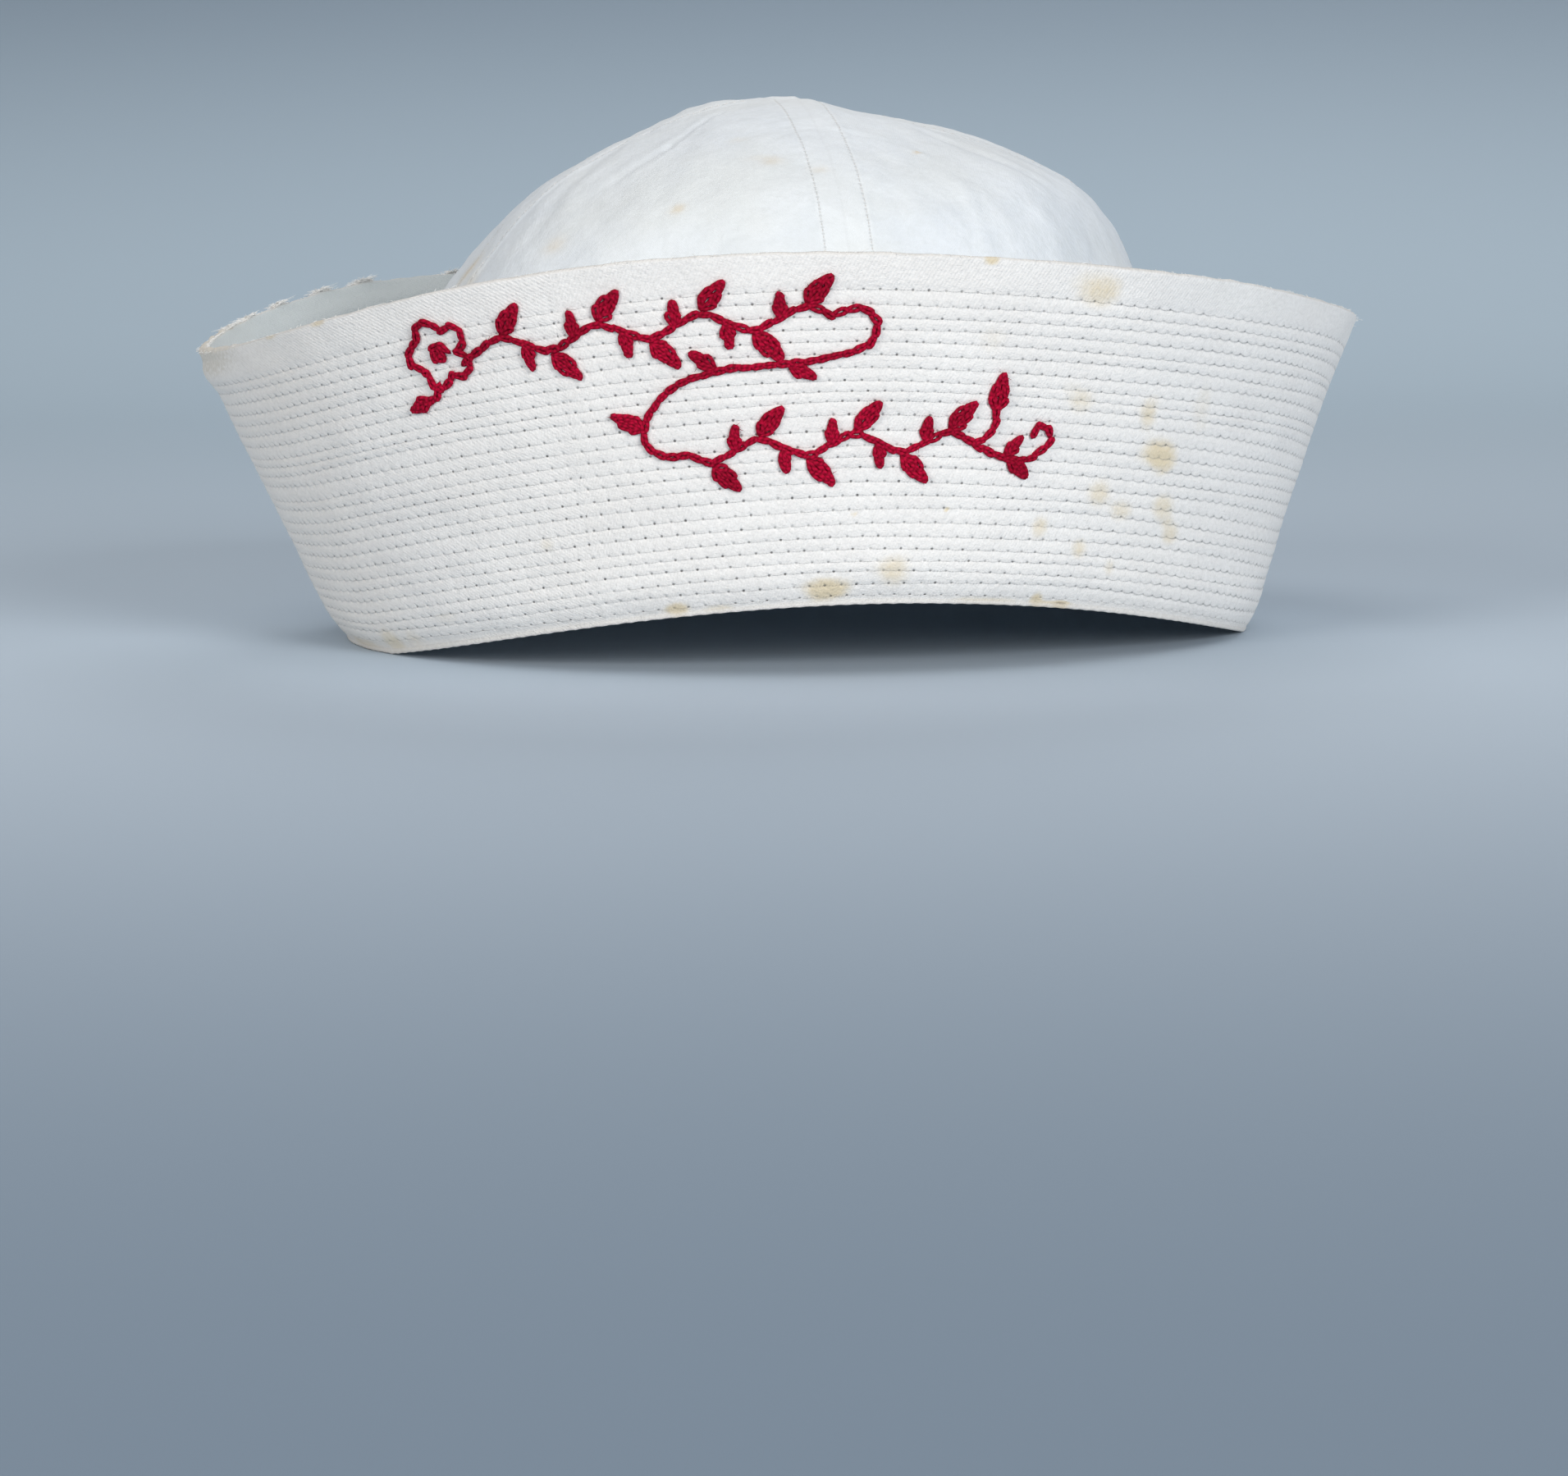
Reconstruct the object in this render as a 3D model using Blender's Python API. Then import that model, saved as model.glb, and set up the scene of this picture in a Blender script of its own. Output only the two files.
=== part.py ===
"""Sailor cap: a stiff stitched brim turned up round a soft crown of four gores.

The cap stands as it would on a table. Its lower edge, the fold where the brim turns up, bends into a
saddle: it touches down in two flattened stretches, left and right, and arches clear at the front and
the back. +Z is up, -Y is the front and +X is the right-hand side seen from the front. The origin is
on the table, under the middle of the cap. Sizes are in metres and angles in degrees, and an azimuth
runs from the front (0) to the right (90), the back (180) and the left (270 or -90).
"""

import bmesh
import bpy
import numpy as np

# --- driving sizes ---------------------------------------------------------------------------------

FOLD_HALF_WIDTH = 0.0953  # outer face of the brim at the fold, side to side
FOLD_HALF_LENGTH = 0.0960  # the same, front to back
FOLD_SHIFT_X = 0.0015  # the fold sits a little to the right of the rim

RIM_HALF_WIDTH = 0.1194  # outer face of the brim at its top edge
RIM_HALF_LENGTH = 0.1195
RIM_SHIFT_X = -0.0016
RIM_HEIGHT = 0.0660  # mean height of the top edge over the table

BRIM_WALL = 0.0028  # several plies of twill stitched together
CROWN_WALL = 0.0012  # one ply, lapped double along the seams
CROWN_HEIGHT = 0.1102
PIECE_GAP = 0.0003

# How the two edges wave: each row lifts the edge by lift * cos(times * (azimuth - peak_at)).
# columns:       lift    times  peak_at
FOLD_WAVES = [
    (0.0075, 2, 9),  # the saddle: arched at the front and the back
]
RIM_WAVES = [
    (0.0082, 2, 27),  # the saddle again, turned towards the front right
    (0.0066, 1, -21),  # the front stands higher than the back
    (0.0033, 3, -23),  # the worn left end droops
]
FOLD_MEAN_HEIGHT = 0.0054
FOLD_BASE_ROUND = 0.0012  # height of the fold's rounded corner
FOLD_STRIP_OUTER = 0.0010  # the flat underside of the fold runs from this far inside its outer face
FOLD_STRIP_INNER = 0.0022  # to this far
BRIM_HOLLOW = 0.0016  # the right-hand side flares more towards its top: its face is hollow by this much

# The crown's outline at one height after another, from the fold to the top.
# columns:      rise   left   right  front  back     (rise is a share of the crown's height, the
#                                                     others are shares of the crown's base radius)
CROWN_PROFILE = [
    (0.00, 1.000, 1.000, 1.000, 1.000),
    (0.12, 0.987, 0.988, 0.987, 0.987),
    (0.26, 0.962, 0.966, 0.962, 0.962),
    (0.40, 0.918, 0.926, 0.920, 0.920),
    (0.54, 0.850, 0.862, 0.852, 0.852),
    (0.66, 0.768, 0.776, 0.770, 0.770),
    (0.75, 0.679, 0.727, 0.692, 0.692),
    (0.82, 0.584, 0.658, 0.606, 0.606),
    (0.88, 0.474, 0.534, 0.500, 0.500),
    (0.93, 0.356, 0.390, 0.372, 0.372),
    (0.965, 0.259, 0.217, 0.245, 0.245),
    (0.985, 0.180, 0.095, 0.150, 0.150),
    (0.996, 0.095, 0.045, 0.070, 0.070),
]
CROWN_SHIFT_X = -0.0007  # the top leans this far to the left of the fold's middle

# Soft dents and swellings of the crown.
# columns:    azimuth  rise   half_width  half_height  swell   (azimuth in degrees, rise as above,
#                                                               half sizes and swell in metres)
CROWN_DENTS = [
    (62, 0.945, 0.015, 0.008, -0.0012),
    (-38, 0.900, 0.010, 0.020, -0.0012),
    (30, 0.700, 0.020, 0.014, 0.0010),
    (-15, 0.620, 0.016, 0.020, -0.0008),
    (140, 0.760, 0.022, 0.018, -0.0010),
    (235, 0.800, 0.018, 0.018, 0.0010),
]

# The four seams of the crown, named for the gore that starts there and runs on to the right.
# columns: azimuth, gore
CROWN_SEAMS = [
    (9, "crown_gore_front_right"),
    (88, "crown_gore_back_right"),
    (189, "crown_gore_back_left"),
    (290, "crown_gore_front_left"),
]
SEAM_LAP = 0.0052  # half the width of the doubled cloth along a seam
SEAM_LAP_SLOPE = 0.0007  # width of the step down from it
SEAM_LAP_RAISE = 0.0004
LAP_MOST = 0.30  # near the top, a lap takes no more than this share of the gore's width
LAP_SLOPE_MOST = 0.04

BRIM_STATIONS = 96  # sections round the brim
BRIM_ROWS = 9  # points up each face of the brim
GORE_COLUMNS = 11  # points across a gore between its laps
SMOOTH_ANGLE = 40  # edges sharper than this stay sharp

TWILL_COLOUR = (0.86, 0.85, 0.82)
CROWN_COLOUR = (0.83, 0.86, 0.87)
CLOTH_ROUGHNESS = 0.9


# --- shapes as functions of azimuth ----------------------------------------------------------------


def wave(azimuth, waves):
    """The sum of the cosine waves of a table, at each azimuth."""
    return sum(
        lift * np.cos(np.radians(times * (azimuth - peak_at)))
        for lift, times, peak_at in waves
    )


def fold_height(azimuth):
    """Height of the lower edge: a saddle, pressed flat where it would pass through the table."""
    return np.maximum(0.0, FOLD_MEAN_HEIGHT + wave(azimuth, FOLD_WAVES))


def rim_height(azimuth):
    return RIM_HEIGHT + wave(azimuth, RIM_WAVES)


def around(azimuth, half_width, half_length, shift_x, height):
    """Points of an oval seen from above, at the given azimuths and heights."""
    turn = np.radians(azimuth)
    return np.stack(
        [
            shift_x + half_width * np.sin(turn),
            -half_length * np.cos(turn),
            height + 0 * turn,
        ],
        axis=-1,
    )


def outward(azimuth):
    """Horizontal unit vectors pointing out of the cap."""
    turn = np.radians(azimuth)
    return np.stack([np.sin(turn), -np.cos(turn), 0 * turn], axis=-1)


# --- the brim --------------------------------------------------------------------------------------


def brim_sections(azimuth):
    """One closed outline of the brim's wall for each azimuth: up the outer face, over the rounded top
    edge, down the inner face and back across the flat strip of the fold."""
    foot = around(azimuth, FOLD_HALF_WIDTH, FOLD_HALF_LENGTH, FOLD_SHIFT_X, fold_height(azimuth))
    rim = around(azimuth, RIM_HALF_WIDTH, RIM_HALF_LENGTH, RIM_SHIFT_X, rim_height(azimuth))
    up = (rim - foot) / np.linalg.norm(rim - foot, axis=1, keepdims=True)
    out = outward(azimuth)
    across = out - up * np.sum(out * up, axis=1, keepdims=True)
    across /= np.linalg.norm(across, axis=1, keepdims=True)

    first_row = foot + [0, 0, FOLD_BASE_ROUND]
    half_wall = BRIM_WALL / 2
    last_row = rim - up * half_wall
    hollow = BRIM_HOLLOW * np.clip(np.sin(np.radians(azimuth)), 0, 1)[:, None]
    outer, inner = [], []
    for share in np.linspace(0, 1, BRIM_ROWS):
        face = first_row + (last_row - first_row) * share
        face = face - across * hollow * 4 * share * (1 - share)
        outer.append(face)
        inner.append(face - across * BRIM_WALL)
    inner[0] = foot - out * BRIM_WALL + [0, 0, FOLD_BASE_ROUND]

    middle = last_row - across * half_wall
    top_edge = [
        middle + half_wall * (across * np.cos(turn) + up * np.sin(turn))
        for turn in np.radians([45, 90, 135])
    ]
    corner = foot - out * FOLD_STRIP_OUTER / 5 + [0, 0, FOLD_BASE_ROUND / 3]
    strip = [foot - out * FOLD_STRIP_INNER, foot - out * FOLD_STRIP_OUTER, corner]
    return np.stack(outer + top_edge + inner[::-1] + strip, axis=1)


def loft_ring(bm, sections):
    """Joins closed outlines into a ring, each to the next and the last to the first."""
    loops = [[bm.verts.new(point) for point in section] for section in sections]
    for near, far in zip(loops, loops[1:] + loops[:1]):
        for i in range(len(near)):
            j = (i + 1) % len(near)
            bm.faces.new((near[i], far[i], far[j], near[j]))


# --- the crown -------------------------------------------------------------------------------------

PROFILE = np.array(CROWN_PROFILE)
PROFILE_AZIMUTHS = (-90, 90, 0, 180)  # of the columns left, right, front and back


def crown_radius_share(azimuth, row):
    """The outline of one row of the profile, blended smoothly between its four sides."""
    weights = [
        np.clip(np.cos(np.radians(azimuth - side)), 0, 1) ** 2 for side in PROFILE_AZIMUTHS
    ]
    return sum(w * share for w, share in zip(weights, PROFILE[row, 1:])) / sum(weights)


def crown_normal(azimuth, rise):
    """Roughly the direction that the crown faces: level at the fold and up at the top."""
    tip_up = np.radians(90) * rise**2
    level = outward(azimuth) * np.cos(tip_up)
    return level + np.array([0, 0, 1.0]) * np.sin(tip_up)


def crown_face(azimuth, row, inset=0.0):
    """Points of the crown at each azimuth, on one row of the profile and inset from its outer face."""
    rise = PROFILE[row, 0]
    share = crown_radius_share(azimuth, row)
    foot = fold_height(azimuth) + PIECE_GAP
    height = foot + (CROWN_HEIGHT - foot) * rise
    half_width = FOLD_HALF_WIDTH - BRIM_WALL - PIECE_GAP
    half_length = FOLD_HALF_LENGTH - BRIM_WALL - PIECE_GAP
    shift_x = FOLD_SHIFT_X + CROWN_SHIFT_X * rise
    points = around(azimuth, half_width * share, half_length * share, shift_x, height)
    facing = crown_normal(azimuth, rise)
    swell = 0.0
    for dent_azimuth, dent_rise, half_wide, half_high, dent in CROWN_DENTS:
        turn = np.radians((azimuth - dent_azimuth + 180) % 360 - 180)
        along = turn * half_width * share / half_wide
        above = (rise - dent_rise) * CROWN_HEIGHT / half_high
        swell = swell + dent * np.exp(-(along**2) - above**2)
    swell = np.broadcast_to(swell, azimuth.shape)
    return points + facing * (swell - inset)[:, None]


def gore_azimuths(start, end, row):
    """Azimuths across a gore: its two edges, the laps beside them, and even steps between."""
    radius = FOLD_HALF_WIDTH * PROFILE[row, 1:].mean()
    gap = np.degrees(PIECE_GAP / 2 / radius)
    wide = end - start
    lap = min(np.degrees(SEAM_LAP / radius), LAP_MOST * wide)
    slope = min(np.degrees(SEAM_LAP_SLOPE / radius), LAP_SLOPE_MOST * wide)
    middle = np.linspace(start + lap + slope, end - lap - slope, GORE_COLUMNS)
    return np.concatenate([[start + gap, start + lap], middle, [end - lap, end - gap]])


def gore_faces(start, end):
    """The grids of outer and inner points of a gore, and the points of its tip at the top."""
    outer, inner = [], []
    lapped = np.zeros(GORE_COLUMNS + 4)
    lapped[[0, 1, -2, -1]] = SEAM_LAP_RAISE
    for row in range(len(PROFILE)):
        azimuth = gore_azimuths(start, end, row)
        raise_by = lapped if row else 0 * lapped
        outer.append(crown_face(azimuth, row, -raise_by))
        inner.append(crown_face(azimuth, row, CROWN_WALL + 0 * azimuth))
    middle = np.radians((start + end) / 2)
    corner = PIECE_GAP / 2 / np.sin(np.radians((end - start) / 2))
    tip = np.array(
        [
            FOLD_SHIFT_X + CROWN_SHIFT_X + corner * np.sin(middle),
            -corner * np.cos(middle),
            CROWN_HEIGHT + SEAM_LAP_RAISE,
        ]
    )
    return outer, inner, tip, tip - [0, 0, CROWN_WALL + SEAM_LAP_RAISE]


def build_gore(bm, start, end):
    """A curved triangle of cloth with a wall: two faces, two long edges and a hem."""
    outer, inner, tip, tip_under = gore_faces(start, end)
    top = [[bm.verts.new(point) for point in line] for line in outer]
    under = [[bm.verts.new(point) for point in line] for line in inner]
    top_tip = bm.verts.new(tip)
    under_tip = bm.verts.new(tip_under)
    count = len(top[0])
    for low, high, low_under, high_under in zip(top, top[1:], under, under[1:]):
        for i in range(count - 1):
            bm.faces.new((low[i], low[i + 1], high[i + 1], high[i]))
            bm.faces.new((low_under[i], high_under[i], high_under[i + 1], low_under[i + 1]))
        bm.faces.new((low[0], high[0], high_under[0], low_under[0]))
        bm.faces.new((low[-1], low_under[-1], high_under[-1], high[-1]))
    for i in range(count - 1):
        bm.faces.new((top[0][i], under[0][i], under[0][i + 1], top[0][i + 1]))
        bm.faces.new((top[-1][i], top[-1][i + 1], top_tip))
        bm.faces.new((under[-1][i + 1], under[-1][i], under_tip))
    bm.faces.new((top[-1][0], top_tip, under_tip, under[-1][0]))
    bm.faces.new((top[-1][-1], under[-1][-1], under_tip, top_tip))


# --- objects ---------------------------------------------------------------------------------------


def cloth(name, colour):
    material = bpy.data.materials.new(name)
    material.use_nodes = True
    shader = material.node_tree.nodes["Principled BSDF"]
    shader.inputs["Base Color"].default_value = (*colour, 1)
    shader.inputs["Roughness"].default_value = CLOTH_ROUGHNESS
    shader.inputs["Metallic"].default_value = 0
    return material


def add_piece(name, bm, material, parent):
    """Turns the bmesh into a named object with outward faces and smooth shading."""
    bmesh.ops.recalc_face_normals(bm, faces=bm.faces)
    mesh = bpy.data.meshes.new(name)
    bm.to_mesh(mesh)
    bm.free()
    mesh.shade_smooth()
    mesh.set_sharp_from_angle(angle=np.radians(SMOOTH_ANGLE))
    mesh.materials.append(material)
    piece = bpy.data.objects.new(name, mesh)
    bpy.context.scene.collection.objects.link(piece)
    piece.parent = parent
    return piece


def centre_offset(pieces):
    """How far the cap's box is from being centred over the origin, seen from above."""
    points = np.array([v.co for piece in pieces for v in piece.data.vertices])
    middle = (points.min(axis=0) + points.max(axis=0)) / 2
    return middle[0], middle[1]


def main():
    for old in list(bpy.data.objects):
        bpy.data.objects.remove(old)
    twill = cloth("stitched_twill", TWILL_COLOUR)
    crown_cloth = cloth("crown_cloth", CROWN_COLOUR)
    cap = bpy.data.objects.new("sailor_cap", None)
    bpy.context.scene.collection.objects.link(cap)

    bm = bmesh.new()
    loft_ring(bm, brim_sections(np.linspace(0, 360, BRIM_STATIONS, endpoint=False)))
    pieces = [add_piece("brim", bm, twill, cap)]

    starts = [azimuth for azimuth, _ in CROWN_SEAMS]
    ends = starts[1:] + [starts[0] + 360]
    for (start, name), end in zip(CROWN_SEAMS, ends):
        bm = bmesh.new()
        build_gore(bm, start, end)
        pieces.append(add_piece(name, bm, crown_cloth, cap))

    off_x, off_y = centre_offset(pieces)
    cap.location = (-off_x, -off_y, 0)


main()
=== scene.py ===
# %% [markdown]
# # A white sailor cap, from its solids to its stitches
# The cap has a crown of four cotton gores and a stiff twill brim that is turned up all round and
# quilted with twenty-five rows of stitching. The solids come first, as a frame that isn't
# changed. Every piece made here lies on the frame's own measures, so nothing has to be fitted
# afterwards.

import bpy
import numpy as np
from mathutils import Matrix, Vector


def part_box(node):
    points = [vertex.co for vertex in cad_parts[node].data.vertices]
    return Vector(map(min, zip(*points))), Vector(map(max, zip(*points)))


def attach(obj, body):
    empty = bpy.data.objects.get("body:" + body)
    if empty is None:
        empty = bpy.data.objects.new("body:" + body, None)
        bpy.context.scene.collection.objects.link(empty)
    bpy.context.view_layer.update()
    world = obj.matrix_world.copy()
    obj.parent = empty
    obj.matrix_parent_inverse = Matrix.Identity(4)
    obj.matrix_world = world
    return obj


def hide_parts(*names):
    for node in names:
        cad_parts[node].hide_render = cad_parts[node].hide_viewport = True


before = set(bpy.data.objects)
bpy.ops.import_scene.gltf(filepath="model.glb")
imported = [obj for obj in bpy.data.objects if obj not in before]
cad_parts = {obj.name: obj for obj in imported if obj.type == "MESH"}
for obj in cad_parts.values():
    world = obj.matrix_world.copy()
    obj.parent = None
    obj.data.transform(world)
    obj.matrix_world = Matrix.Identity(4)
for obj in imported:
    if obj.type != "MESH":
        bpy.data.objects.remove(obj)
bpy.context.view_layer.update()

# %% [markdown]
# ## The cap's measures
# The brim is a band between two ovals: the fold, where the cloth turns up, and the rim, its top
# edge. Both are wavy, so each has a small table of cosine waves. The crown is an oval that
# shrinks with height, by a table of shares. The solids were made with these measures, in metres;
# only the crown's wall is thinner here. Azimuth is the angle round the cap in degrees: 0 at the
# front, and 90 at its right as one looks at it.

# %% Measures of the brim and the crown
FOLD_HALF_WIDTH, FOLD_HALF_LENGTH, FOLD_SHIFT_X = 0.0953, 0.0960, 0.0015
RIM_HALF_WIDTH, RIM_HALF_LENGTH, RIM_SHIFT_X = 0.1194, 0.1195, -0.0016
RIM_HEIGHT = 0.0660
BRIM_WALL = 0.0028
CROWN_HEIGHT = 0.1102
CROWN_WALL = 0.0010
PIECE_GAP = 0.0003
FOLD_MEAN_HEIGHT = 0.0054
FOLD_WAVES = [(0.0075, 2, 9)]  # lift, times round the cap, azimuth of a peak
RIM_WAVES = [(0.0082, 2, 27), (0.0066, 1, -21), (0.0033, 3, -23)]
BRIM_HOLLOW = 0.0016  # how far the right-hand side of the brim curves in
CROWN_SHIFT_X = -0.0007

CROWN_PROFILE = np.array(
    [  # rise as a share of the height, then the oval's size on the left, right, front and back
        (0.000, 1.000, 1.000, 1.000, 1.000),
        (0.120, 0.987, 0.988, 0.987, 0.987),
        (0.260, 0.962, 0.966, 0.962, 0.962),
        (0.400, 0.918, 0.926, 0.920, 0.920),
        (0.540, 0.850, 0.862, 0.852, 0.852),
        (0.660, 0.768, 0.776, 0.770, 0.770),
        (0.750, 0.679, 0.727, 0.692, 0.692),
        (0.820, 0.584, 0.658, 0.606, 0.606),
        (0.880, 0.474, 0.534, 0.500, 0.500),
        (0.930, 0.356, 0.390, 0.372, 0.372),
        (0.965, 0.259, 0.217, 0.245, 0.245),
        (0.985, 0.180, 0.095, 0.150, 0.150),
        (0.996, 0.095, 0.045, 0.070, 0.070),
    ]
)
CROWN_DENTS = [  # azimuth, rise, half width, half height, swell
    (62, 0.945, 0.015, 0.008, -0.0012),
    (-38, 0.900, 0.010, 0.020, -0.0012),
    (30, 0.700, 0.020, 0.014, 0.0010),
    (-15, 0.620, 0.016, 0.020, -0.0008),
    (140, 0.760, 0.022, 0.018, -0.0010),
    (235, 0.800, 0.018, 0.018, 0.0010),
]
CROWN_SEAMS = [
    (9, "crown_gore_front_right"),
    (88, "crown_gore_back_right"),
    (189, "crown_gore_back_left"),
    (290, "crown_gore_front_left"),
]


# %% Waves and ovals
def degrees_past(azimuth, middle):
    """How far an azimuth is past another, from -180 to 180 degrees."""
    return (azimuth - middle + 180) % 360 - 180


def wave(azimuth, waves):
    """The sum of lift * cosine(times * (azimuth - peak)) over a table."""
    return sum(lift * np.cos(np.radians(times * (azimuth - peak))) for lift, times, peak in waves)


def around(azimuth, half_width, half_length, shift_x, height):
    """Points of an oval: sideways by the sine, forwards by the cosine of the azimuth."""
    turn = np.radians(azimuth)
    x = shift_x + half_width * np.sin(turn)
    return np.stack([x, -half_length * np.cos(turn), height + 0 * x], axis=-1)


def outward(azimuth):
    """Level unit vectors that point out of the cap."""
    turn = np.radians(azimuth)
    return np.stack([np.sin(turn), -np.cos(turn), 0 * turn], axis=-1)


def fold_line(azimuth):
    """The lower edge: an oval whose height waves like a saddle, flat on the table at its lows."""
    height = np.maximum(0.0, FOLD_MEAN_HEIGHT + wave(azimuth, FOLD_WAVES))
    return around(azimuth, FOLD_HALF_WIDTH, FOLD_HALF_LENGTH, FOLD_SHIFT_X, height)


def rim_line(azimuth):
    """The top edge: a wider oval, with three waves in its height."""
    height = RIM_HEIGHT + wave(azimuth, RIM_WAVES)
    return around(azimuth, RIM_HALF_WIDTH, RIM_HALF_LENGTH, RIM_SHIFT_X, height)


# %% Where the solids stand
whole_turn = np.linspace(-180, 180, 721)
rim_ring = rim_line(whole_turn)
brim_low, brim_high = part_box("brim")
CENTRE = np.array(
    [
        (brim_low.x + brim_high.x - rim_ring[:, 0].min() - rim_ring[:, 0].max()) / 2,
        (brim_low.y + brim_high.y - rim_ring[:, 1].min() - rim_ring[:, 1].max()) / 2,
        0,
    ]
)  # the solids were moved by this much, so that their box stands over the origin
slant = np.linalg.norm(rim_ring - fold_line(whole_turn), axis=1)
print(f"The brim is {slant.min()*1000:.1f} to {slant.max()*1000:.1f} mm from fold to rim")
print("The solids were centred by", np.round(CENTRE * 1000, 2), "mm")

# %% [markdown]
# ## Uneven, but the same every time
# Cloth is never quite even. A sum of a few sine waves with random directions gives a smooth
# unevenness at any size. The random numbers come from a seed, so each run makes the same cap.


# %% A smooth unevenness
WAVES = 10


def unevenness(points, size, seed):
    """A sum of sine waves of about one wavelength, in seeded directions: from about -1 to 1."""
    rng = np.random.default_rng(seed)
    directions = rng.normal(size=(WAVES, 3))
    directions /= np.linalg.norm(directions, axis=1, keepdims=True)
    waves = 2 * np.pi / (size * rng.uniform(0.7, 1.6, WAVES))
    phases = rng.uniform(0, 2 * np.pi, WAVES)
    along = points @ (directions * waves[:, None]).T
    return np.sin(along + phases).sum(axis=-1) * 2.5 / WAVES


def waviness(points, table):
    """Several such waves at once, from a table of depth, size and seed."""
    return sum(depth * unevenness(points, size, seed) for depth, size, seed in table)


def step(value, start, end):
    """A smooth step: 0 before start, 1 after end, and 3t^2 - 2t^3 between them."""
    t = np.clip((value - start) / (end - start), 0, 1)
    return t * t * (3 - 2 * t)


def hump(away, half_width):
    """A smooth hump, exp(-(away / half_width)^2): 1 in its middle, and almost 0 two widths off."""
    return np.exp(-((away / half_width) ** 2))


# %% [markdown]
# ## Grids into meshes
# Each piece of cloth is a grid of points with two directions. Neighbours in the grid become
# four-sided faces. A grid may be closed in one direction, like a tube. Its charts (UV maps) are
# given on the same grid with one more line there, so that a pattern doesn't run backwards across
# the closing line.


# %% Faces of a grid
def grid_faces(rows, columns, closed_rows=False):
    """Corners of the faces between neighbours, as points of the mesh and as points of the chart."""
    down = np.arange(rows if closed_rows else rows - 1)[:, None]
    over = np.arange(columns - 1)[None, :]
    chart = np.stack(
        [
            down * columns + over,
            down * columns + over + 1,
            (down + 1) * columns + over + 1,
            (down + 1) * columns + over,
        ],
        axis=-1,
    ).reshape(-1, 4)
    return chart % (rows * columns), chart


# %% A mesh object from arrays
SHARP_ANGLE = np.radians(60)


def flat32(values):
    """The values of an array in one row, as Blender's meshes take them."""
    return np.ascontiguousarray(values, dtype=np.float32).ravel()


def make_piece(
    name, points, faces, material, charts=None, chart_corners=None, marks=None, crisp=False
):
    """A mesh object at the origin from arrays: points (n, 3), faces as a list of corner arrays,
    charts as {name: (m, 2)} read at chart_corners, and marks as {name: one number for each point}.
    A crisp piece keeps its sharpest edges, such as the ends of a length of cloth."""
    mesh = bpy.data.meshes.new(name)
    corners = np.concatenate([part.ravel() for part in faces]).astype(np.int32)
    sizes = np.concatenate([np.full(len(part), part.shape[1]) for part in faces])
    starts = np.concatenate([[0], np.cumsum(sizes)[:-1]]).astype(np.int32)
    mesh.vertices.add(len(points))
    mesh.vertices.foreach_set("co", flat32(points))
    mesh.loops.add(len(corners))
    mesh.loops.foreach_set("vertex_index", corners)
    mesh.polygons.add(len(starts))
    mesh.polygons.foreach_set("loop_start", starts)
    mesh.update(calc_edges=True)
    where = corners if chart_corners is None else np.concatenate([p.ravel() for p in chart_corners])
    for chart, values in (charts or {}).items():
        layer = mesh.uv_layers.new(name=chart)
        layer.uv.foreach_set("vector", flat32(values[where]))
    for mark, values in (marks or {}).items():
        layer = mesh.attributes.new(mark, "FLOAT", "POINT")
        layer.data.foreach_set("value", flat32(values))
    mesh.shade_smooth()
    if crisp:
        mesh.set_sharp_from_angle(angle=SHARP_ANGLE)
    mesh.materials.append(material)
    piece = bpy.data.objects.new(name, mesh)
    bpy.context.scene.collection.objects.link(piece)
    print(f"{name}: {len(points)} points, {(sizes - 2).sum()} triangles")
    return piece


# %% [markdown]
# ## Writing materials as sums
# A material is a tree of nodes. To keep it readable, a socket is wrapped in a small class, and
# then `1 - stain * 0.3` adds the Math nodes by itself. Any other node comes from `node`, which
# sets the node's settings first and then the values or links of its sockets.


# %% A socket that can be added, multiplied and compared
class Wire:
    """One output socket in a material. Arithmetic on it adds Math nodes."""

    def __init__(self, socket):
        self.socket = socket

    def __getitem__(self, name):
        """Another output of the same node."""
        return Wire(self.socket.node.outputs[name])

    @staticmethod
    def node(tree, kind, settings=None, values=None, output=0):
        """Adds a node of a type: its settings first, then the values or links of its sockets."""
        made = tree.nodes.new(kind)
        for key, setting in (settings or {}).items():
            setattr(made, key, setting)
        for key, value in (values or {}).items():
            if isinstance(value, Wire):
                tree.links.new(value.socket, made.inputs[key])
            else:
                made.inputs[key].default_value = value
        return Wire(made.outputs[output])

    def maths(self, operation, *others):
        """A Math node of this socket and up to two others, or numbers."""
        values = {place: value for place, value in enumerate((self, *others))}
        return Wire.node(self.socket.id_data, "ShaderNodeMath", {"operation": operation}, values)

    def __add__(self, other):
        return self.maths("ADD", other)

    def __mul__(self, other):
        return self.maths("MULTIPLY", other)

    def __sub__(self, other):
        return self.maths("SUBTRACT", other)

    def __rsub__(self, other):
        return (self * -1.0) + other

    def __truediv__(self, other):
        return self.maths("DIVIDE", other)

    def __pow__(self, other):
        return self.maths("POWER", other)

    __radd__, __rmul__ = __add__, __mul__

    def from_to(self, low, high):
        """A smooth step between two values, as step() does for numbers."""
        return Wire.node(
            self.socket.id_data,
            "ShaderNodeMapRange",
            {"interpolation_type": "SMOOTHSTEP"},
            {"Value": self, "From Min": low, "From Max": high},
        )


# %% Materials, tints and layers
def new_material(name):
    """An empty material with its shader: returns the material, its tree and the shader node."""
    material = bpy.data.materials.new(name)
    material.use_nodes = True
    tree = material.node_tree
    return material, tree, tree.nodes["Principled BSDF"]


def tint(tree, share, first, second):
    """A colour between two others: first where share is 0 and second where it is 1."""
    first, second = [c if isinstance(c, Wire) else (*c, 1) for c in (first, second)]
    settings = {"data_type": "RGBA", "clamp_factor": True}
    return Wire.node(tree, "ShaderNodeMix", settings, {0: share, 6: first, 7: second}, output=2)


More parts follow.
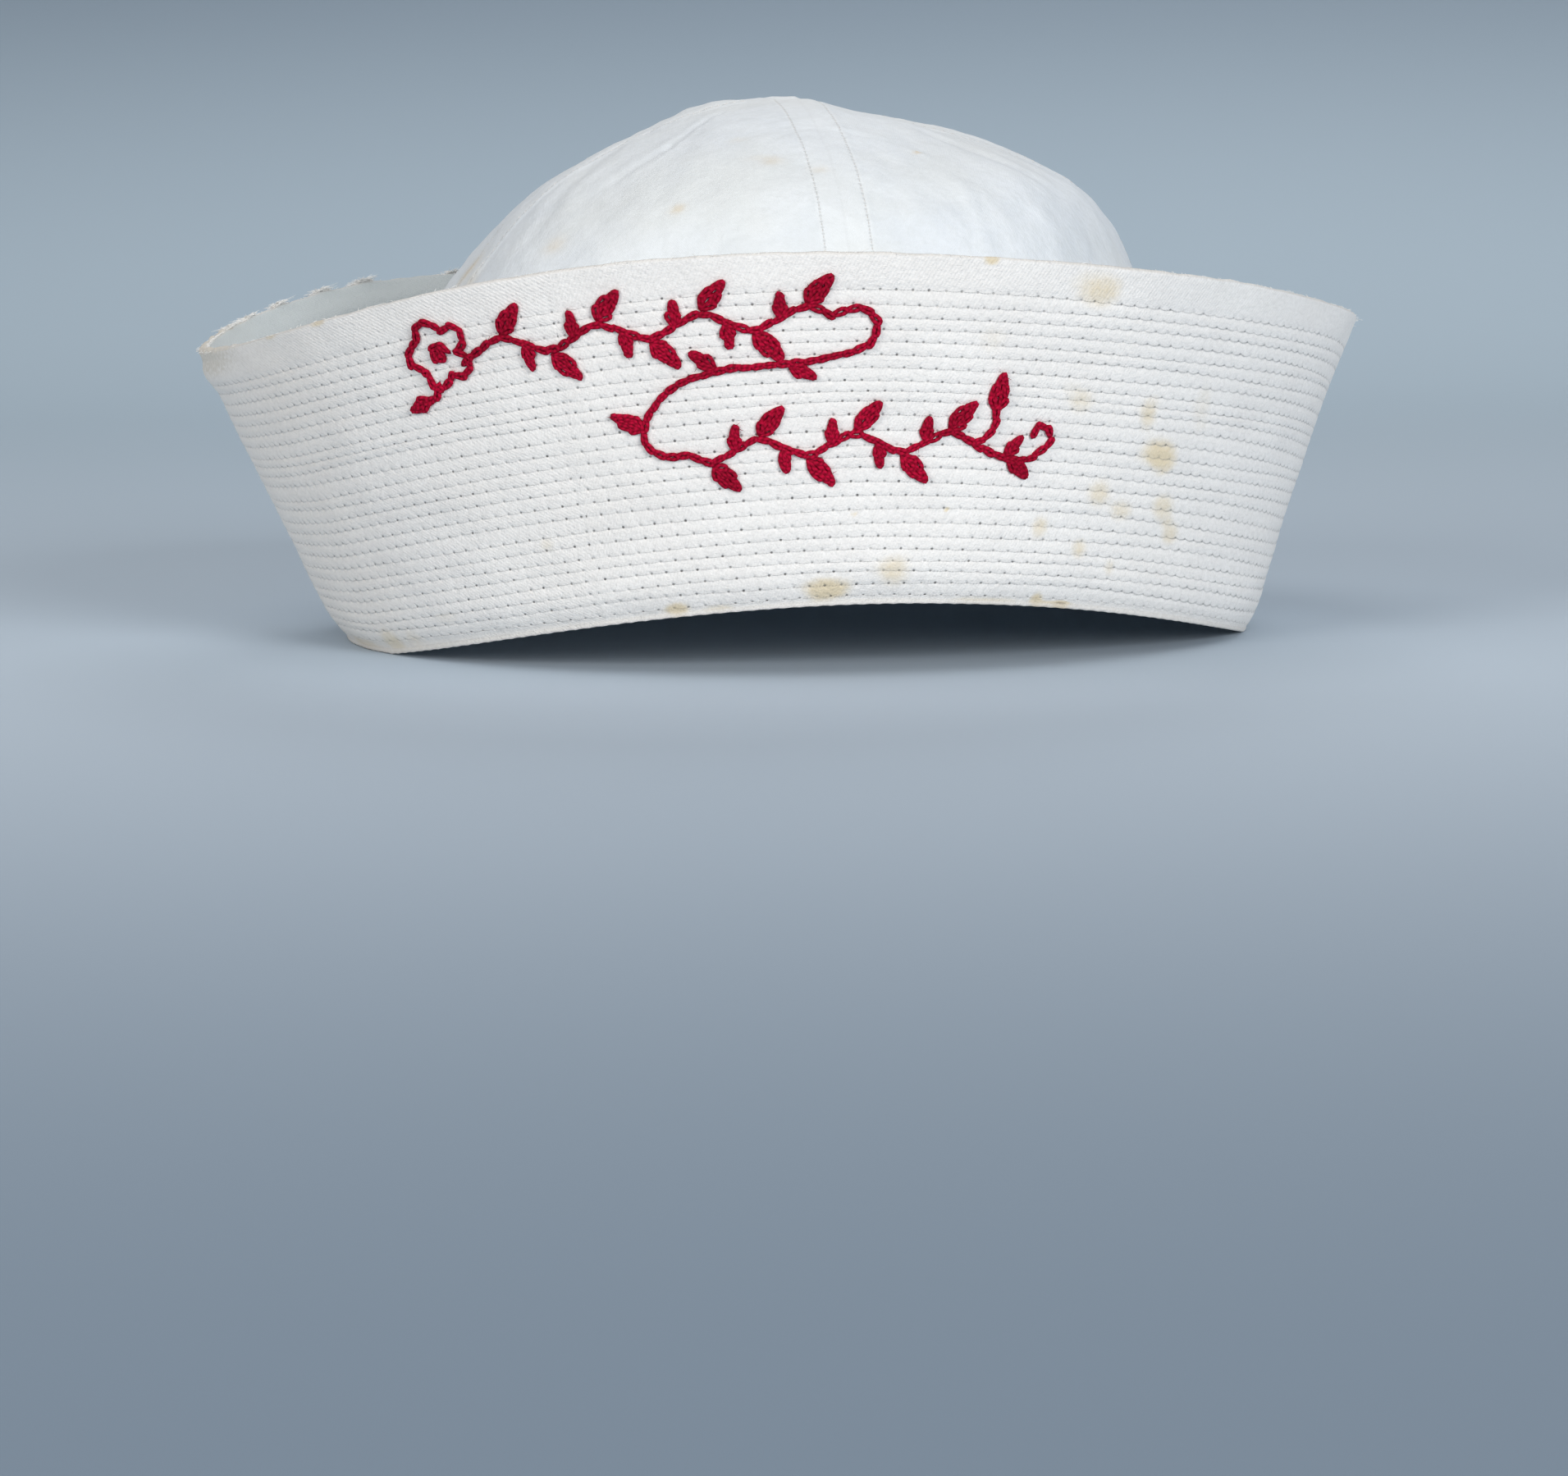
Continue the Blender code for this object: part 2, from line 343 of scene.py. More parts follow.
def layered(tree, colour, layers):
    """Tints laid one over another on a colour: a table of how much of each, and its colour."""
    for share, tone in layers:
        colour = tint(tree, share, colour, tone)
    return colour


def feed(tree, shader, colour, roughness, height=None, specular=0.25, sheen=0.0):
    """Gives the shader a colour, a roughness and a bump from a height in metres, which may vary,
    and two settings that don't: how much it shines and how much it glows at its edges."""
    tree.links.new(colour.socket, shader.inputs["Base Color"])
    if height is not None:
        bump = Wire.node(tree, "ShaderNodeBump", None, {"Height": height, "Distance": 1.0})
        tree.links.new(bump.socket, shader.inputs["Normal"])
    if isinstance(roughness, Wire):
        tree.links.new(roughness.socket, shader.inputs["Roughness"])
    else:
        shader.inputs["Roughness"].default_value = roughness
    shader.inputs["Specular IOR Level"].default_value = specular
    shader.inputs["Sheen Weight"].default_value = sheen


# %% What a pattern can follow
def chart_of(tree, name):
    """Across and along, in metres or in counts, from one of the piece's own charts."""
    chart = Wire.node(tree, "ShaderNodeUVMap", {"uv_map": name})
    split = Wire.node(tree, "ShaderNodeSeparateXYZ", None, {0: chart})
    return chart, split, split["Y"]


def mark_of(tree, name):
    """One number for each point of the piece, stored as an attribute."""
    return Wire.node(tree, "ShaderNodeAttribute", {"attribute_name": name}, None, output="Fac")


def blotches(tree, place, size, detail=3.0, roughness=0.55):
    """Noise from 0 to 1 whose blotches are about `size` metres across."""
    values = {"Vector": place, "Scale": 1 / size, "Detail": detail, "Roughness": roughness}
    return Wire.node(tree, "ShaderNodeTexNoise", None, values)


# %% [markdown]
# ## The rows of quilting
# The rows were sewn one below the other by a hand-guided machine, so their spacing is uneven and
# each wanders a little. An even array of rows would look printed, so their heights are charted as
# shares of the way from the fold to the rim. The number of stitches in a row follows its
# length, and each row starts at its own place.

# %% Where each row of stitches runs
ROW_SHARES = np.array(
    [0.895, 0.861, 0.826, 0.790, 0.755, 0.720, 0.682, 0.643, 0.615, 0.585, 0.547, 0.504, 0.468]
    + [0.431, 0.394, 0.357, 0.318, 0.278, 0.239, 0.203, 0.166, 0.132, 0.098, 0.062, 0.022]
)
ROW_COUNT = len(ROW_SHARES)
ROW_WANDER = 0.00022
EDGE_ROUND = 0.0004  # the faces end this far below the rim, which rounds above them
FOLD_ROUND = 0.0005  # and start this far above the fold, which rounds below them
RIM_DIP = (0.0009, 66, 15)  # depth, azimuth and half width of a low stretch of the rim
CORNER_LIFT = (0.0013, -62, 26)  # the lowest rows rise by up to this much at the left corner
CORNER_SHARE = 0.09


def rim_reach(azimuth):
    """Height of the rim above the fold, along the face."""
    return np.linalg.norm(rim_line(azimuth) - fold_line(azimuth), axis=-1)


def row_heights(azimuth):
    """Height of each row above the fold along the face: its share of the slant, plus a slow wander.
    The face's top edge comes first and its lower edge last: two more lines than rows."""
    reach = rim_reach(azimuth)
    rng = np.random.default_rng(11)
    turn = np.radians(azimuth)
    depth, at, half = RIM_DIP
    lines = [reach - EDGE_ROUND - depth * hump(degrees_past(azimuth, at), half)]
    raised, at, half = CORNER_LIFT
    corner = raised * hump(degrees_past(azimuth, at), half)
    for share in ROW_SHARES:
        times, phases = rng.integers(1, 9, 5), rng.uniform(0, 2 * np.pi, 5)
        wander = sum(np.sin(t * turn + p) for t, p in zip(times, phases)) * ROW_WANDER / 2
        lift = corner * np.exp(-share / CORNER_SHARE)
        lines.append(share * reach + wander * min(1.0, share / 0.06) + lift)
    return np.stack(lines + [FOLD_ROUND + 0 * reach])


print("Rows above the fold in front, in mm:", np.round(row_heights(np.zeros(1))[1:-1, 0] * 1000, 1))

# %% How the stitches are counted
TOP_ROW_STITCHES, BOTTOM_ROW_STITCHES = 243.0, 200.0  # about one every 3 mm
MORE_EACH_ROW = (BOTTOM_ROW_STITCHES - TOP_ROW_STITCHES) / (ROW_COUNT - 1)
ROW_OFFSET = 0.618034  # each row starts this share of a stitch further on than the one above it


def row_stitches(row):
    """Stitches in a row, from the longest at the rim to the shortest at the fold."""
    return TOP_ROW_STITCHES + MORE_EACH_ROW * row


def stitch_count(azimuth, row):
    """Stitches from azimuth 0 to a place on the nearest row: whole numbers are needle holes."""
    nearest = np.clip(np.round(row), 0, ROW_COUNT - 1)
    return azimuth / 360 * row_stitches(nearest) + nearest * ROW_OFFSET


print(f"{ROW_COUNT} rows, with {row_stitches(np.arange(ROW_COUNT)).sum():.0f} stitches in all")

# %% [markdown]
# ## Places on the brim's face
# The real brim is a few plies of twill, quilted flat and turned up. Here a place on a face is
# told by its azimuth and its `row`, which is -1 at the rim, a whole number on each row of
# stitches and 25 at the fold. With the row as a coordinate, the cushions, the threads and the
# needle holes all find the same places, which points moved by hand or by a displacement image
# would not.

# %% From rows to heights and points
LAPS = (-21.3, 158.7)  # azimuths where the two lengths of twill are joined
LAP_LEAN = 2.4  # degrees that a join leans from the fold to the rim


def beside_lines(lines, above):
    """The two lines that a place is between, picked for each azimuth by the number of the upper."""
    return [np.take_along_axis(lines, above[None] + below, axis=0)[0] for below in (0, 1)]


def height_at(azimuth, row):
    """Height of a place given by its row: straight between the lines above and below it."""
    place = np.clip(row + 1, 0, ROW_COUNT + 1 - 1e-9)
    above = place.astype(int)
    high, low = beside_lines(row_heights(azimuth), above)
    return high + (low - high) * (place - above)


def row_at(azimuth, height):
    """The other way round: the row of a place given by its height."""
    lines = row_heights(azimuth)
    above = np.clip((lines > height).sum(axis=0) - 1, 0, ROW_COUNT)
    high, low = beside_lines(lines, above)
    return above - 1 + (high - height) / (high - low)


def share_at(row):
    """Roughly how far up from the fold a row is, as a share."""
    return np.interp(row, np.arange(-1, ROW_COUNT + 1), [0.98, *ROW_SHARES, 0.02])


def lap_lean(row):
    """Degrees that a join has leant from its middle by this row."""
    return LAP_LEAN * (share_at(row) - 0.5)


# %% Points of the plain face
def brim_frame(azimuth, height):
    """A point of the plain outer face, and the unit vectors up the face and out of it. The face is
    straight from the fold to the rim, and hollow by 4 share (1 - share) on the right."""
    foot, rim = fold_line(azimuth), rim_line(azimuth)
    reach = np.linalg.norm(rim - foot, axis=-1, keepdims=True)
    up = (rim - foot) / reach
    level = outward(azimuth)
    out = level - up * np.sum(level * up, axis=-1, keepdims=True)
    out /= np.linalg.norm(out, axis=-1, keepdims=True)
    share = height[..., None] / reach
    hollow = BRIM_HOLLOW * np.clip(np.sin(np.radians(azimuth)), 0, 1)[..., None]
    return foot + up * height[..., None] - out * hollow * 4 * share * (1 - share) + CENTRE, up, out


# %% [markdown]
# ## Cushions between the rows
# The stitches pull the plies together, so the cloth puffs up between rows and is drawn in on
# them. A cloth simulation of thousands of stitches is slow and never ends quite the same way.
# Sines and soft steps give the same cushions, and put every pucker on its own needle hole.

# %% Quilting
PUFF_OUTSIDE, PUFF_INSIDE = 0.00012, 0.00014
PUFF_MIDDLE = 0.75  # the cushions' mean height, which lies on the plain face
STITCH_APART, ROW_APART = 3.0, 2.6  # mm between needle holes and between rows, on the whole
HEM_MORE = 4.4  # the hem, above the first row, is wider by this many mm
PUCKER_HALF = 0.9  # mm above and below its hole where a pucker fades out
PUCKER_SLANT = 0.22  # stitches that a pucker leans by in each mm


def off_row(row):
    """Millimetres down from the nearest row."""
    nearest = np.clip(np.round(row), 0, ROW_COUNT - 1)
    return (row - nearest) * ROW_APART + np.minimum(row, 0) * HEM_MORE


def slackness(azimuth):
    """How loosely the rows are puckered: 1 round the left side, and 0.2 elsewhere."""
    return 0.2 + 0.8 * (1 - step(np.abs(degrees_past(azimuth, -95)), 28, 62))


def draping(azimuth):
    """How far each stitch sags between its holes, and the cloth over it: 1 round the right side,
    and about half of that round the left."""
    right, left = (np.abs(degrees_past(azimuth, side)) for side in (95, -95))
    return 0.15 + 0.85 * (1 - step(right, 40, 88)) + 0.40 * (1 - step(left, 30, 70))


def quilting(azimuth, row):
    """Cushions between the rows: the sine of the place between two rows, to a power, and fuller in
    their lower halves. A slanting pucker runs through each needle hole: a cosine along the row,
    which fades out above and below it."""
    part = np.mod(np.clip(row, 0, ROW_COUNT - 1), 1.0)
    slack = slackness(azimuth)
    cushion = np.sin(np.pi * part**1.3) ** (0.6 + 0.7 * slack)
    cushion = cushion + 0.8 * step(row, ROW_COUNT - 1.7, ROW_COUNT - 1.0) * (0.7 - cushion)
    cushion = np.where(row < 0, step(-row, 0.0, 0.16), cushion)
    cushion = np.where(row > ROW_COUNT - 1, 0.6, cushion)
    off = off_row(row)
    pucker = np.cos(2 * np.pi * (stitch_count(azimuth, row) - PUCKER_SLANT * off))
    pucker = pucker * hump(off, PUCKER_HALF)
    return cushion * (0.8 + 0.3 * slack) - (0.1 + 0.5 * slack) * pucker - PUFF_MIDDLE


# %% [markdown]
# ## The two faces and the worn rim
# Each face is the plain face plus a relief: cushions, the faint steps of the two laps, and a
# little waviness, because handled cloth is never flat. Hands have worn the rim at the left: it is
# ragged and thinner at its very edge, and bulges just below. Adding all this up as one number for
# each point keeps it in one place, where a chain of sculpted layers would have to be redone at
# each change.

# %% Wear of the rim
WORN_RIM = (-86.0, 30.0)  # middle and half length of the worn stretch, in degrees
WEAR_FADE = (14, 26)  # degrees behind that middle where its dirt gets fainter


def worn_stretch(azimuth):
    """1 along the worn stretch of the rim, fading out towards both its ends."""
    middle, half = WORN_RIM
    return 1 - step(np.abs(degrees_past(azimuth, middle)), 0.45 * half, half)


def rim_wear(azimuth, height):
    """The same, fading out from 1.5 to 7.5 mm below the rim too."""
    reach = rim_reach(azimuth)
    return worn_stretch(azimuth) * step(height, reach - 0.0075, reach - 0.0015)


# %% The outer and inner faces of the brim
OUTER_WAVES = [(0.00030, 0.045, 3), (0.00008, 0.012, 4), (0.00003, 0.0045, 6)]
INNER_WAVES = [(0.00025, 0.04, 5)]
HEM_LIFT = 0.00004
HEM_THINNING = 0.0017
FOLD_TUCK, FOLD_TUCK_HEIGHT = 0.0019, 0.0085  # the face bends in towards the fold
FRAY_DEPTH, FRAY_WAVES = 0.00012, [(0.00012, 0.0028, 8)]
EDGE_LOSS = 0.0009  # what the worn rim has lost at its very edge
WORN_BULGE = 0.0009  # and how far it bulges below that
LAP_RAISE, LAP_SLOPE = 0.00005, 3.0  # a lap's step, and the degrees in which it dies away


def outer_brim(azimuth, row):
    """Points of the outer face, and the vectors up and out: the plain face, plus its relief."""
    height = height_at(azimuth, row)
    point, up, out = brim_frame(azimuth, height)
    relief = PUFF_OUTSIDE * quilting(azimuth, row) + HEM_LIFT * step(-row, 0.0, 0.3)
    relief += waviness(point, OUTER_WAVES)
    relief -= FOLD_TUCK * np.clip(1 - height / FOLD_TUCK_HEIGHT, 0, 1) ** 2
    worn, reach = rim_wear(azimuth, height), rim_reach(azimuth)
    relief -= worn * (FRAY_DEPTH + waviness(point, FRAY_WAVES)) + EDGE_LOSS * worn**4
    relief += WORN_BULGE * worn_stretch(azimuth) * step(height, reach - 0.0100, reach - 0.0050)
    for lap in LAPS:
        past = degrees_past(azimuth, lap + lap_lean(row))
        relief += LAP_RAISE * np.where(past > -1e-6, hump(past, LAP_SLOPE), 0)
    return point + out * relief[..., None], up, out


def inner_brim(azimuth, row):
    """The inner face: the plain face moved in by the wall, with lower puffs. Above the first row
    only the folded hem is left, so the wall thins out there."""
    point, up, out = brim_frame(azimuth, height_at(azimuth, row))
    relief = BRIM_WALL - HEM_THINNING * step(-row, 0.1, 1.0) * (1 - 0.45 * worn_stretch(azimuth))
    relief += PUFF_INSIDE * quilting(azimuth, row) + waviness(point, INNER_WAVES)
    return point - out * relief[..., None], up, out


# %% [markdown]
# ## Tufts along the rim
# A few tufts of broken cotton stand up from the rim. Each is one line of a table, which is used
# twice: for the small humps of the rim's edge here, and for the fibres that grow on them further
# on.

# %% A table of tufts
TUFTS = [  # azimuth, half width in degrees, height in mm, fibres
    (-92, 17, 0.0, 900),
    (-100, 1.3, 0.3, 240),
    (-106, 1.0, 0.3, 200),
    (-113, 1.0, 0.5, 340),
    (-121, 1.0, 0.6, 340),
    (-128, 1.2, 0.6, 400),
    (-141, 1.0, 0.4, 180),
    (96, 10, 0.0, 80),
    (0, 180, 0.0, 400),
]


def tuft_height(azimuth):
    """How far the tufts stand up from the rim: the sum of height * exp(-(away / width)^2)."""
    return sum(
        tall / 1000 * hump(degrees_past(azimuth, middle), half)
        for middle, half, tall, _ in TUFTS
        if tall > 0
    )


# %% [markdown]
# ## Two lengths of twill
# The real brim is two lengths of twill, joined by a lap at the front left and another at the
# back. Each is one closed shell: its outline goes up the outer face, over the rim, down the inner
# face and round the fold, and has a cap at both ends. A Solidify modifier could give the wall,
# but not a rim and a fold of their own. The outline's steps fall exactly on the rows, so the mesh
# has a line of points in every groove. Two charts go with it: `cloth`, in metres along and across
# the twill, and `rows`, with the turn round the cap and the row, from which the material finds
# every needle hole. On the inner face rows are counted down from -3, so that one chart does for
# both.

# %% The brim's outline
OUTER_PARTS = np.array([0.0, 0.10, 0.32, 0.68, 0.90])
INNER_PARTS = np.array([0.0, 0.25, 0.75])
HEM_ROWS = -1 + np.array([0.0, 0.08, 0.20, 0.35, 0.50, 0.65, 0.78, 0.88, 0.95])
FOLD_ROWS = ROW_COUNT - 1 + np.array([0.0, 0.35, 1.0])
ARC = np.radians([15, 35, 60, 90, 120, 145, 165])
BRIM_COLUMNS = 425
CLOTH_RADIUS = 0.107
INSIDE = -3  # a row of the inner face is counted as this, less the row
RIM_CREST = 0.0004
CREST_WAVES = [(0.00010, 0.0060, 10)]
WORN_CREST, WORN_CREST_WAVES = 0.0003, [(0.00045, 0.0035, 9)]
FOLD_PUCKER = 0.10


def face_rows(parts, hem):
    """The rows of a face's steps, from the rim down."""
    steps = (np.arange(ROW_COUNT - 1)[:, None] + parts).ravel()
    return np.concatenate([hem, steps, FOLD_ROWS])


def half_oval(first, last, reach):
    """A half oval from one line of points to another: the cosine of its angle goes from first to
    last, and its sine times `reach` stands out."""
    turn = ARC[:, None, None]
    return (first + last) / 2 + (first - last) / 2 * np.cos(turn) + reach(np.sin(turn))


# %% A closed shell
def brim_shell(start, end):
    """A grid of points round the closed outline (first direction) and along the cap (second), and
    its charts, which have one more line. The rim and the fold are half ovals between the faces."""
    columns = np.linspace(start, end, BRIM_COLUMNS)
    faces = []
    for face, rows in (
        (outer_brim, face_rows(OUTER_PARTS, HEM_ROWS)[::-1]),
        (inner_brim, face_rows(INNER_PARTS, HEM_ROWS[::2])),
    ):
        row = rows[:, None] + 0 * columns
        azimuth = columns + lap_lean(row)
        faces.append((*face(azimuth, row), azimuth, row))
    (outer, up, _, azimuth, row), (inner, _, _, inner_azimuth, inner_row) = faces

    worn = rim_wear(azimuth[-1], height_at(azimuth[-1], row[-1]))
    crest = RIM_CREST + tuft_height(azimuth[-1]) + waviness(outer[-1], CREST_WAVES)
    crest = up[-1] * (crest + worn * (WORN_CREST + waviness(outer[-1], WORN_CREST_WAVES)))[:, None]
    rim = half_oval(outer[-1], inner[0], lambda sine: crest * sine)
    depth = ((inner[-1] + outer[0]) / 2 - fold_line(azimuth[0]))[:, 2]
    depth = depth * (1 - FOLD_PUCKER * np.abs(np.sin(np.pi * stitch_count(azimuth[0], row[0]))))
    fold = half_oval(inner[-1], outer[0], lambda sine: [0, 0, -1.0] * depth[:, None] * sine**0.8)
    grid = np.concatenate([outer, rim, inner, fold])

    arc = ARC[:, None] + 0 * columns
    fold_row = INSIDE - ROW_COUNT - arc / np.pi
    all_azimuth = [azimuth, azimuth[-1] + 0 * arc, inner_azimuth, azimuth[0] + 0 * arc, azimuth[:1]]
    all_row = [row, -1 - arc / np.pi, INSIDE - inner_row, fold_row, fold_row[-1:] - 0.1]
    azimuth, row = np.concatenate(all_azimuth), np.concatenate(all_row)
    steps = np.linalg.norm(np.diff(grid, axis=0, append=grid[:1]), axis=-1).mean(axis=1)
    along = np.concatenate([[0], np.cumsum(steps)])[:, None] + 0 * columns
    cloth = np.stack([np.radians(azimuth) * CLOTH_RADIUS, along], axis=-1)
    return grid, {"cloth": cloth, "rows": np.stack([azimuth / 360, row], axis=-1)}


def shell_faces(grid):
    """Faces of a tube-like grid and one cap at each end."""
    count, columns = grid.shape[:2]
    points, chart = grid_faces(count, columns, closed_rows=True)
    first = np.arange(count)[None, :] * columns
    last = np.arange(count)[None, ::-1] * columns + columns - 1
    return [points, first, last], [chart, first, last]


# %% [markdown]
# ## Stains and wear
# Old white cloth is told by its marks: tan water stains on the front right, brown along the fold,
# and a greyish, fluffy stretch of rim at the left where it was held. Noise alone would put stains
# anywhere, so each is one charted line of a table: a soft round spot, whose edge the
# material breaks up with noise. The strength is stored on the points of the mesh, as an
# attribute, so that any renderer or export can read it.

# %% A table of stains
BRIM_STAINS = [  # azimuth, height, half width, half height in mm, strength
    (29.8, 63.0, 4.58, 3.59, 0.60),
    (41.5, 32.4, 4.72, 3.31, 0.78),
    (38.8, 39.8, 2.36, 3.31, 0.54),
    (44.1, 22.1, 3.54, 3.04, 0.60),
    (46.4, 16.9, 2.95, 2.48, 0.54),
    (34.4, 23.6, 3.2, 3.0, 0.50),
    (37.8, 20.4, 3.4, 2.2, 0.46),
    (27.3, 16.5, 2.06, 2.07, 0.54),
    (32.9, 12.2, 2.22, 2.35, 0.48),
    (37.8, 8.8, 1.91, 2.07, 0.42),
    (29.9, 41.7, 3.24, 2.76, 0.42),
    (46.4, 43.1, 2.95, 4.14, 0.30),
    (19.5, 53.0, 2.95, 3.45, 0.22),
    (10.6, 7.2, 3.83, 3.31, 0.54),
    (3.4, 3.2, 4.62, 2.64, 1.00),
    (-13.6, 1.2, 2.25, 1.44, 0.96),
    (-9.0, 0.6, 3.75, 0.96, 0.48),
    (28.6, 1.2, 1.62, 1.44, 1.00),
    (31.0, 0.3, 6.5, 0.70, 0.80),
    (32.4, 0.3, 1.6, 0.60, 1.20),
    (22.0, 0.5, 8.75, 0.84, 0.48),
    (6.4, 18.6, 0.45, 0.6, 1.00),
    (16.4, 19.1, 0.4, 0.5, 1.00),
    (18.9, 68.0, 1.18, 0.83, 1.00),
    (-27.0, 18.0, 1.77, 1.52, 0.36),
    (-46.4, 68.5, 2.1, 0.7, 0.62),
    (-54.6, 67.9, 2.0, 0.7, 0.66),
    (-56.8, 2.0, 4.6, 3.6, 0.50),
    (-52.0, 2.0, 3.4, 2.6, 0.30),
    (-66.0, 1.0, 10.0, 1.44, 0.48),
    (-44.0, 6.0, 4.42, 1.93, 0.24),
    (118.0, 30.0, 5.17, 4.14, 0.48),
    (133.0, 12.0, 3.54, 3.04, 0.54),
    (171.0, 44.0, 3.24, 3.86, 0.42),
    (205.0, 8.0, 7.38, 3.31, 0.60),
    (238.0, 52.0, 3.83, 3.04, 0.36),
]

# %% How strong the stains are
SPOT_UNEVEN = (0.45, 0.006, 31)  # share, size and seed of the bends in a spot's outline


def millimetres_round(azimuth, middle, radius):
    """Distance round the cap from one azimuth to another."""
    return np.radians(degrees_past(azimuth, middle)) * radius * 1000


def brim_stains(azimuth, height):
    """Sum of soft spots, strength * exp(-(across^2 + along^2)^1.5), whose outline is uneven."""
    total = 0 * azimuth
    place = np.stack([np.radians(azimuth) * CLOTH_RADIUS, height, 0 * height], axis=-1)
    bent = 1 + waviness(place, [SPOT_UNEVEN])
    for middle, above, half_wide, half_high, strength in BRIM_STAINS:
        across = millimetres_round(azimuth, middle, CLOTH_RADIUS) / half_wide
        along = (height * 1000 - above) / half_high
        total = total + strength * np.exp(-((across**2 + along**2) ** 1.5) * bent)
    return total


print(f"{len(BRIM_STAINS)} stains on the brim")

# %% [markdown]
# ## The brim's finish
# Bleached cotton twill has fine slanting ribs and a little lint, and is grey where hands and dust
# have been. Some of its greys are painted shade: on the inner face, on the rim's crest, in a thin
# line at the rim's back edge in front, on the band below the last row and in part along the fold.
# Needle holes are painted dark as shade in them, and beside each row a narrow painted shadow lies
# where the thread presses into the cloth. A photographed texture would show its seams and its own
# light; here the rows' chart gives the distance to the nearest hole and the nearest row, and sums
# of those distances make the masks.


# %% Masks of the stitching
def stitch_masks(tree, turn, line):
    """The row, a random number for each stitch, and masks of the needle holes, of the groove under
    each thread, of the cloth that hangs over it and of the dimple round each hole."""
    row = line.maths("MAXIMUM", INSIDE - line)
    nearest = row.maths("ROUND").maths("MAXIMUM", 0.0).maths("MINIMUM", ROW_COUNT - 1.0)
    count = turn * (nearest * MORE_EACH_ROW + TOP_ROW_STITCHES) + nearest * ROW_OFFSET
    place = Wire.node(tree, "ShaderNodeCombineXYZ", None, {0: count.maths("ROUND"), 1: nearest})
    chance = Wire.node(tree, "ShaderNodeTexWhiteNoise", None, {"Vector": place})
    slack, drape = mark_of(tree, "slack"), mark_of(tree, "drape")

    beside = ((count + 0.5).maths("FRACT") - 0.5) * STITCH_APART + (chance - 0.5) * 0.4
    above = (row - nearest) * ROW_APART + row.maths("MINIMUM", 0.0) * HEM_MORE
    off_hole = (beside * beside + above * above) ** 0.5
    # The holes' dark is painted shade, fainter round both sides, where the puckers would hide it.
    hole = (1.0 - off_hole.from_to(0.13, 0.33)) * (1.15 - slack * 0.35 - drape * 0.75)
    hole = hole * (chance * 0.8 + 0.35)

    part = (count.maths("FRACT") - 0.5) * 2.0
    # The groove is a mask for a painted shadow under each thread.
    under = above - (1.0 - part * part) * (drape * 0.26 + 0.08) + 0.04
    groove = 1.0 - under.maths("ABSOLUTE").from_to(0.04, drape * 0.18 + 0.26)
    groove = groove * (part * 0.3 + 0.7) * (chance * 0.9 + 0.35)
    above_last_row = 1.0 - row.from_to(ROW_COUNT - 1.8, ROW_COUNT - 1.2)
    overhang = under.from_to(-0.14, 0.14) * (1.0 - under.from_to(0.15, 1.3)) * drape
    slant = (beside - above * 0.55) * 1.4
    dimple = 1.0 - ((slant * slant + above * above) ** 0.5).from_to(0.05, 0.95)
    return row, chance, hole, groove, overhang * above_last_row, dimple


# %% Masks of the weave and of the brim's parts
RIB_PITCH = 0.00060


def twill_weave(tree, chart, across, along, rib_angle):
    """Slanting ribs, from -0.5 to 0.5: a sine across them, with a weaker one along each rib."""
    rib = across * float(np.sin(rib_angle)) - along * float(np.cos(rib_angle))
    thread_wave = blotches(tree, chart, 0.0022, 1.0) * 1.6
    ribs = (rib * (2 * np.pi / RIB_PITCH) + thread_wave).maths("SINE") * 0.5 + 0.5
    cross = (rib * 0.35 + along) * (2 * np.pi / (RIB_PITCH * 0.62))
    return ribs * (cross.maths("SINE") * 0.18 + 0.82) - 0.5


def brim_parts(turn, line):
    """Masks from the rows' chart, for painted shade: the inner face, the rim's crest, and its back
    edge in front.
    """
    last = INSIDE - ROW_COUNT
    inside = (1.0 - line.from_to(-2.1, -1.5)) * line.from_to(last - 0.6, last - 0.1)
    crest = 1.0 - (line + 1.5).maths("ABSOLUTE").from_to(0.32, 0.52)
    edge = 1.0 - (line + 1.78).maths("ABSOLUTE").from_to(0.16, 0.28)
    in_front = 1.0 - turn.maths("ABSOLUTE").from_to(0.16, 0.20)
    return inside, crest, edge * in_front


